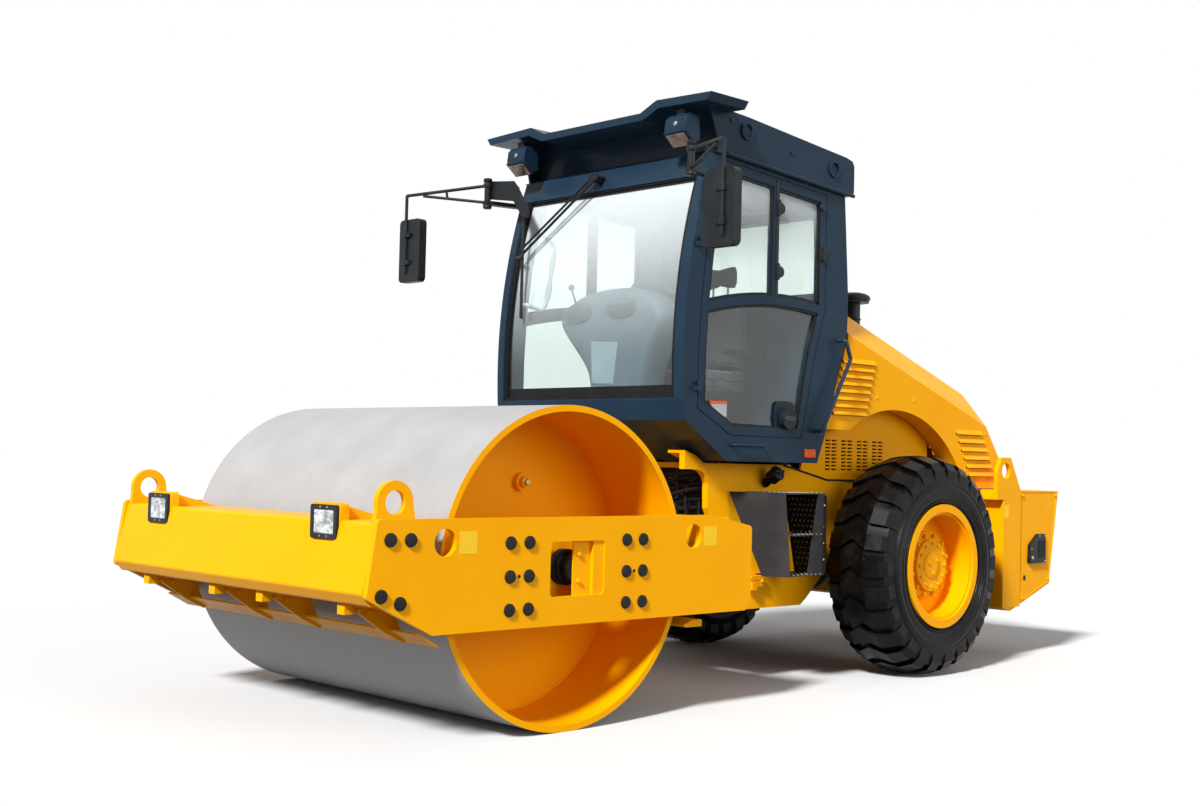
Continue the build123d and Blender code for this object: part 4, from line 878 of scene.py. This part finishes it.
class ROLLER_OT_steps(bpy.types.Operator):
    """Punched grip studs on the boarding steps, their black backing and the filler cap above"""

    bl_idname = "roller.steps"
    bl_label = "Step treads"

    def execute(self, context):
        low, high = box_mm("steps_left")
        backing = Form("step_backing", REAR, "rubber")
        studs = Form("step_grip_studs", REAR, "pale")
        dome = [(5.5, 0), (4.5, 1.6), (2, 2.2)]
        x = low[0] + 8
        for side in SIDES:
            inner = side * (FRAME_Y + 14)
            outer = side * (STEP_Y - 14)
            backing.prism([(inner, high[2] - 14), (outer, high[2] - 14), (outer, low[2] + 14),
                           (side * (FRAME_Y + 98), low[2] + 14)], "x", x, x + 1.2)
            for row in range(14):
                z = high[2] - 40 - row * 31
                least = FRAME_Y + 34 + max(0, (high[2] - z) / (high[2] - low[2]) * 90)
                for column in range(9):
                    y = least + (row % 2) * 15 + column * 30
                    if y < STEP_Y - 28:
                        studs.turned((x + 1.2, side * y, z), (1, 0, 0), dome, sides=8)
            for level, inset in ((high[2], 20), (870, 20), (low[2] + 8, 120)):
                for row in range(7):
                    y = STEP_Y - 26 - row * 38
                    for column in range(8 if y > FRAME_Y + inset else 0):
                        studs.turned((low[0] + 44 + column * 40, side * y, level), (0, 0, 1), dome, sides=8)
        cap = Form("filler_cap", REAR, "black")
        along = Vector((0, 40, 27)).normalized()
        place = Vector((AXLE_X + 1100, FRAME_Y + 86, 1207))
        cap.turned(place, along, [(43, 0), (46, 4), (46, 18), (41, 23), (16, 25), (15, 34), (10, 36)], 0, 28)
        cap.pipe([place + along * rise + Vector((x, 0, 0))
                  for x, rise in ((-36, 28), (-30, 33), (30, 33), (36, 28))], 8)
        return end_forms(backing, studs, cap)


class ROLLER_OT_rear_frame_details(bpy.types.Operator):
    """Rear lamp units, cover edges, bolts, blank plates, lock bar and seals of the rear frame"""

    bl_idname = "roller.rear_frame_details"
    bl_label = "Rear frame details"

    def execute(self, context):
        (rear, _, under), (ahead, wide, over) = box_mm("rear_lamps")
        lamps = Form("rear_lamp_units", REAR, "black", bevel_mm=2.0, replaces="rear_lamps")
        marks = Form("rear_lamp_marks", REAR, "iron", "brass", "steel", bevel_mm=0.6)
        bolts = Form("rear_frame_bolts", REAR, "body", bevel_mm=0.8)
        plates = Form("rear_blank_plates", REAR, "plate")
        rubber = Form("rear_frame_seals_and_painted_hole_shade", REAR, "rubber")
        edges = Form("rear_cover_edges", REAR, "body")
        for side in SIDES:
            out = (0, side, 0)
            outer = side * wide
            weight_y = side * 900
            frame_y = side * 600
            lamps.prism([(rear, under), (rear, over), (ahead - 108, over), (ahead - 6, over - 72),
                         (ahead, under + 14), (ahead - 10, under)], "y", side * (wide - 25), outer, inset=0.03)
            marks.prism(rounded((rear + 62, (under + over) / 2 - 4), 84, 118, 12), "y", outer, outer + side * 3)
            marks.turned((ahead - 34, outer - side, under + 40), out, [(13, 0), (12, 3), (6, 5)], 1, 16)
            for x, z in ((rear + 14, under + 14), (rear + 14, over - 14), (ahead - 122, over - 14),
                         (ahead - 20, under + 100)):
                marks.turned((x, outer, z), out, [(6, 0), (5, 2), (2, 3)], 2, 10)
            # Rear cover: its seam, corner bolts and a small square hole, drawn as a thin black square that
            # paints the shade inside it; blank plate below the lift eye
            edges.loop_pipe([(AXLE_X + x, weight_y, z) for x, z in
                             ((-1716, 1116), (-1624, 506), (-1252, 376), (-1234, 1116))], 4)
            for x, z in ((-1700, 1092), (-1606, 520), (-1260, 400), (-1258, 1092)):
                bolts.hexagon((AXLE_X + x, weight_y, z), out, 20, 9)
            # Painted shade: a thin black square stands in for the dark inside of the small square hole
            rubber.prism(rounded((AXLE_X - 1299, 534), 30, 34, 3), "y", weight_y, weight_y + side * 0.8)
            plates.prism(rounded((AXLE_X - 1045, 985), 56, 84, 4), "y", side * 910, side * 910.8)
            # Seals below the engine side panel and under the hood's rear lower lip
            rubber.pipe([(AXLE_X + x, side * 603, z) for x, z in ((930, 1260), (509, 1176), (-990, 1176))], 6,
                        sides=8)
            rubber.prism(shifted(AXLE_X, (-1200, 1128), (-935, 1128), (-935, 1135), (-1200, 1135)), "y",
                         side * 716, side * 738)
            # Stowed lock bar of the articulation
            bolts.prism(rounded((-76, 590), 118, 62, 8), "y", frame_y, side * 634)
            bolts.prism(rounded((-30, 560), 44, 40, 6), "y", frame_y, side * 648)
            bolts.pipe([(-140, side * 622, 602), (-8, side * 622, 602)], 14)
            bolts.hexagon((-108, side * 634, 590), out, 20, 10)
            # Frame bolts beside the steps
            for x, z in ((-350, 1060), (-350, 700), (60, 1010), (60, 700)):
                bolts.hexagon((x, frame_y, z), out, 24, 12)
        return end_forms(lamps, marks, bolts, plates, rubber, edges)


class ROLLER_OT_hood_details(bpy.types.Operator):
    """Dark sheets that paint the shade behind the louvres, panel screws and pull handle of the hood, and the
    air intake's rain cap
    """

    bl_idname = "roller.hood_details"
    bl_label = "Hood details"

    def execute(self, context):
        handle = Form("hood_pull_handle", "hood", "black")
        shade_sheets = Form("hood_louvre_shade_sheets", "hood", "iron")
        screws = Form("hood_screws", "hood", "body")
        cap = Form("intake_rain_cap", "hood", "black")
        hood_y = 740
        for side in SIDES:
            # Painted shade: dark sheets just inside the hood sides, behind the louvres, make their slots look
            # dark
            for points in (((-1165, 1200), (-835, 1200), (-675, 1520), (-1005, 1520)),
                           ((320, 1560), (660, 1560), (565, 1915), (225, 1915))):
                shade_sheets.prism(shifted(AXLE_X, *points), "y", side * (hood_y - 30), side * (hood_y - 32))
            for x, z in ((655, 1600), (600, 1760), (545, 1920), (505, 2030), (-1040, 1500), (-1185, 1160),
                         (-200, 1690), (200, 1690)):
                screws.turned((AXLE_X + x, side * hood_y, z), (0, side, 0), [(11, 0), (10, 3), (5, 5)], 0, 16)
        handle.pipe([(AXLE_X - 1220 - out, y, 1235) for out, y in
                     ((0, -120), (34, -116), (40, -100), (40, 100), (34, 116), (0, 120))], 9)
        x, y, _ = middle_mm("intake")
        low, high = box_mm("intake")
        cap.turned((x, y, high[2] - 30), (0, 0, 1),
                   [(101, 0), (108, 4), (108, 16), (101, 30), (80, 42), (46, 50), (14, 53)], sides=40)
        cap.hoop((x, y, low[2] + 90), (0, 0, 1), 47, 5, steps=40)
        return end_forms(handle, shade_sheets, screws, cap)


class ROLLER_OT_hydraulics(bpy.types.Operator):
    """Hydraulic hoses and their fittings in the articulation bay"""

    bl_idname = "roller.hydraulics"
    bl_label = "Hydraulic hoses"

    def execute(self, context):
        data = bpy.data.curves.new("hydraulic_hoses", "CURVE")
        data.dimensions = "3D"
        data.bevel_depth = HOSE_RADIUS * MM
        data.bevel_resolution = 3
        data.materials.append(MATERIALS["rubber"])
        fittings = Form("hose_fittings", REAR, "brass")
        wall = HITCH_X - 160
        inner = FRAME_Y - 42
        # Hoses that cross the bay, and hoses that hang in front of its wall
        routes = [
            [(x, -inner, near), (x, -inner * 0.7, near), (x + 24, -160, sag), (x + 10, 170, sag + 20),
             (x, inner * 0.7, far), (x, inner, far)]
            for near, far, sag, x in (
                (1190, 1150, 1070, wall + 60), (1150, 1190, 1110, wall + 95), (1110, 1060, 990, wall + 75),
                (1060, 1120, 1010, wall + 125), (1210, 1210, 1160, wall + 120), (1020, 1010, 960, wall + 60))]
        for y, top, drop, reach in ((-430, 1150, 260, 90), (-350, 1090, 180, 70), (-255, 1160, 190, 110),
                                    (-170, 1120, 150, 90), (180, 1160, 190, 110), (262, 1080, 130, 80),
                                    (352, 1150, 220, 95), (440, 1100, 240, 75)):
            route = [(wall + reach * out, y + shift, top - drop * fall) for out, shift, fall in
                     ((0, 0, 0), (0.7, 0, 0), (1, 8, 0.3), (1, 12, 0.7), (0.7, 10, 1), (0, 10, 1))]
            routes.append(route)
            for place in (route[0], route[-1]):
                fittings.hexagon(place, (1, 0, 0), 30, 16)
                fittings.turned(place, (1, 0, 0), [(14, 16), (15, 22), (15, 34), (13, 38)])
        for route in routes:
            spline = data.splines.new("NURBS")
            spline.points.add(len(route) - 1)
            for point, place in zip(spline.points, route):
                point.co = (*[v * MM for v in place], 1)
            spline.order_u = 4
            spline.use_endpoint_u = True
        hoses = bpy.data.objects.new("hydraulic_hoses", data)
        context.scene.collection.objects.link(hoses)
        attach(hoses, REAR)
        backing = Form("bay_backing", REAR, "rubber")
        for low, high in ((-FRAME_Y + 45, -205), (-195, 195), (205, FRAME_Y - 45)):
            backing.prism([(low, 700), (high, 700), (high, 1232), (low, 1232)], "x", wall + 1, wall + 2.5)
        return end_forms(fittings, backing)


class ROLLER_OT_seat(bpy.types.Operator):
    """Padded seat cushion, back and headrest, puffed by cloth simulation"""

    bl_idname = "roller.seat"
    bl_label = "Seat pads"

    def execute(self, context):
        low, high = box_mm("seat_cushion")
        self.pad(context, "seat_pad", low, high, "seat_cushion", 0.0)
        low, high = box_mm("seat_back")
        self.pad(context, "seat_back_pad", low, [high[0], high[1], 2300], "seat_back", -36.0)
        self.pad(context, "headrest_pad", [low[0], -78, 2330], [low[0] + 66, 198, high[2]], None, 0.0)
        posts = Form("headrest_posts", REAR, "steel")
        for y in (0, 120):
            posts.pipe([(low[0] + 30, y, 2270), (low[0] + 30, y, 2350)], 7)
        return end_forms(posts)

    def pad(self, context, name, low, high, node, lean):
        """Crowned pad between two corners, with piping; lean moves its top's front face back."""
        inset = 10
        form = Form(name, REAR, "cloth", replaces=node)
        rings = []
        for level in range(5):
            z = low[2] + inset + (high[2] - low[2] - 2 * inset) * level / 4
            back = lean * level / 4
            pull = 8 if level in (0, 4) else 0
            middle = ((low[0] + high[0] + back) / 2, (low[1] + high[1]) / 2)
            rings.append([(x, y, z) for x, y in rounded(
                middle, high[0] - low[0] + back - 2 * (inset + pull), high[1] - low[1] - 2 * (inset + pull),
                min(34, (high[0] - low[0]) / 4), steps=6)])
        form.skin(rings)
        pad = form.end()
        self.puff(context, pad, low, high)
        smooth = pad.modifiers.new("smooth", "SUBSURF")
        smooth.levels = smooth.render_levels = 1
        self.piping(name + "_piping", pad, low, high)

    def puff(self, context, pad, low, high):
        """Remeshes a pad, presses it out with cloth pressure and keeps it inside its two corners."""
        remesh = pad.modifiers.new("remesh", "REMESH")
        remesh.mode = "VOXEL"
        remesh.voxel_size = 8 * MM
        self.keep(context, pad, None)
        start = [vertex.co.copy() for vertex in pad.data.vertices]
        steps = 20
        cloth = pad.modifiers.new("cloth", "CLOTH")
        cloth.settings.use_pressure = True
        cloth.settings.uniform_pressure_force = 4.0
        cloth.settings.effector_weights.gravity = 0.0
        cloth.settings.quality = 4
        for step in range(steps):
            context.scene.frame_set(step + 1)
        self.keep(context, pad, start)
        context.scene.frame_set(1)
        clearance = 1.5
        for vertex in pad.data.vertices:
            for axis in range(3):
                vertex.co[axis] = min(max(vertex.co[axis], (low[axis] + clearance) * MM),
                                      (high[axis] - clearance) * MM)

    def keep(self, context, pad, start):
        """Applies a pad's modifiers; with start points given, no point moves more than the cap from them."""
        cap = 24 * MM
        made = bpy.data.meshes.new_from_object(pad.evaluated_get(context.evaluated_depsgraph_get()))
        for vertex, place in zip(made.vertices, start or ()):
            move = vertex.co - place
            if move.length > cap:
                vertex.co = place + move.normalized() * cap
        pad.modifiers.clear()
        pad.data = made
        for polygon in made.polygons:
            polygon.use_smooth = True

    def piping(self, name, pad, low, high):
        """Sewn piping that follows the pad's widest line, front and back."""
        flat = high[2] - low[2] < high[0] - low[0]
        axis, others = (2, (0, 1)) if flat else (0, (1, 2))
        deep = high[axis] - low[axis]
        level = low[axis] + deep * (0.72 if flat else 0.6)
        steps = 64
        farthest = {}
        for vertex in pad.data.vertices:
            point = vertex.co / MM
            if abs(point[axis] - level) > deep * 0.22:
                continue
            u, v = (point[i] - (low[i] + high[i]) / 2 for i in others)
            index = int((math.atan2(v, u) / (2 * math.pi) % 1) * steps)
            if index not in farthest or u * u + v * v > farthest[index][0]:
                farthest[index] = (u * u + v * v, point)
        form = Form(name, REAR, "rubber")
        form.loop_pipe([farthest[index][1] for index in sorted(farthest)], 3.5)
        form.end()


class ROLLER_OT_stage(bpy.types.Operator):
    """Pale floor, soft studio light and the camera of the photograph"""

    bl_idname = "roller.stage"
    bl_label = "Stage"

    def execute(self, context):
        scene = context.scene
        add, _, end = start_material("matt_studio_floor")
        bounced, seen = (add("BsdfDiffuse", [(grey, grey, grey, 1)]) for grey in (0.16, 0.8))
        bpy.ops.mesh.primitive_plane_add(size=FLOOR_SIDE)
        floor = context.object
        floor.name = "floor"
        floor.data.materials.append(end(add("MixShader", [self.looked_at(add), bounced, seen])))
        scene.world = bpy.data.worlds.new("studio")
        scene.world.use_nodes = True
        scene.world.node_tree.nodes.clear()
        add = partial(add_node, scene.world.node_tree)
        soft = add("Background", [(0.95, 0.975, 1.0, 1), 0.33])
        white = add("Background", [(1, 1, 1, 1), 1.0])
        add("OutputWorld", [add("MixShader", [self.looked_at(add), soft, white])])
        for name, aim, size, power in (("key", (-0.88, -0.3, -0.72), 8, 4.7),
                                       ("fill", (0.25, -0.95, -0.2), 40, 1.0)):
            light = bpy.data.lights.new(name, "SUN")
            light.angle = math.radians(size)
            light.energy = power
            lamp = bpy.data.objects.new(name, light)
            lamp.rotation_euler = Vector(aim).to_track_quat("-Z", "Y").to_euler()
            scene.collection.objects.link(lamp)
        lens = bpy.data.cameras.new("photo_camera")
        lens.sensor_width = SENSOR_MM
        lens.lens = FOCAL_PIXELS / PHOTO_WIDTH * SENSOR_MM
        lens.shift_x = (PHOTO_WIDTH / 2 - PHOTO_CENTRE[0]) / PHOTO_WIDTH
        lens.shift_y = (PHOTO_CENTRE[1] - PHOTO_HEIGHT / 2) / PHOTO_WIDTH
        lens.clip_end = FARTHEST
        camera = bpy.data.objects.new("photo_camera", lens)
        ahead = Vector((math.cos(CAMERA_PITCH) * math.cos(CAMERA_YAW),
                        math.cos(CAMERA_PITCH) * math.sin(CAMERA_YAW), math.sin(CAMERA_PITCH)))
        right = ahead.cross(Vector((0, 0, 1))).normalized()
        up = right.cross(ahead)
        axes = Matrix((right * math.cos(CAMERA_ROLL) + up * math.sin(CAMERA_ROLL),
                       up * math.cos(CAMERA_ROLL) - right * math.sin(CAMERA_ROLL), -ahead)).transposed()
        camera.matrix_world = Matrix.Translation(CAMERA_PLACE) @ axes.to_4x4()
        scene.collection.objects.link(camera)
        scene.camera = camera
        scene.view_settings.view_transform = "Standard"
        return {"FINISHED"}

    def looked_at(self, add):
        """1 for the camera and for what glass and metal show, 0 for the light that reaches the object."""
        rays = [add("LightPath", take=kind) for kind in
                ("Is Camera Ray", "Is Glossy Ray", "Is Transmission Ray")]
        return add("Math", [add("Math", rays[:2], operation="MAXIMUM"), rays[2]], operation="MAXIMUM")


class ROLLER_PT_panel(bpy.types.Panel):
    """Sidebar panel with the steps in order"""

    bl_label = "Road roller"
    bl_idname = "ROLLER_PT_panel"
    bl_space_type = "VIEW_3D"
    bl_region_type = "UI"
    bl_category = "Roller"

    def draw(self, context):
        for step in STEPS:
            self.layout.operator(step.bl_idname)


STEPS = (ROLLER_OT_stage, ROLLER_OT_finishes, ROLLER_OT_plate_fasteners, ROLLER_OT_front_lamps,
         ROLLER_OT_scraper_clamps, ROLLER_OT_drum_fittings, ROLLER_OT_glazing, ROLLER_OT_door_hardware,
         ROLLER_OT_cab_trim, ROLLER_OT_console, ROLLER_OT_wheel_fittings, ROLLER_OT_steps,
         ROLLER_OT_rear_frame_details, ROLLER_OT_hood_details, ROLLER_OT_hydraulics, ROLLER_OT_seat)
CLASSES = (RollerColours, RollerSizes, *STEPS, ROLLER_PT_panel)


def register():
    for cls in CLASSES:
        bpy.utils.register_class(cls)
    bpy.types.Scene.roller_colours = bpy.props.PointerProperty(type=RollerColours)
    bpy.types.Scene.roller_sizes = bpy.props.PointerProperty(type=RollerSizes)


def unregister():
    del bpy.types.Scene.roller_sizes
    del bpy.types.Scene.roller_colours
    for cls in reversed(CLASSES):
        bpy.utils.unregister_class(cls)


def main():
    register()
    for step in STEPS:
        group, name = step.bl_idname.split(".")
        getattr(getattr(bpy.ops, group), name)()


if __name__ == "__main__":
    main()
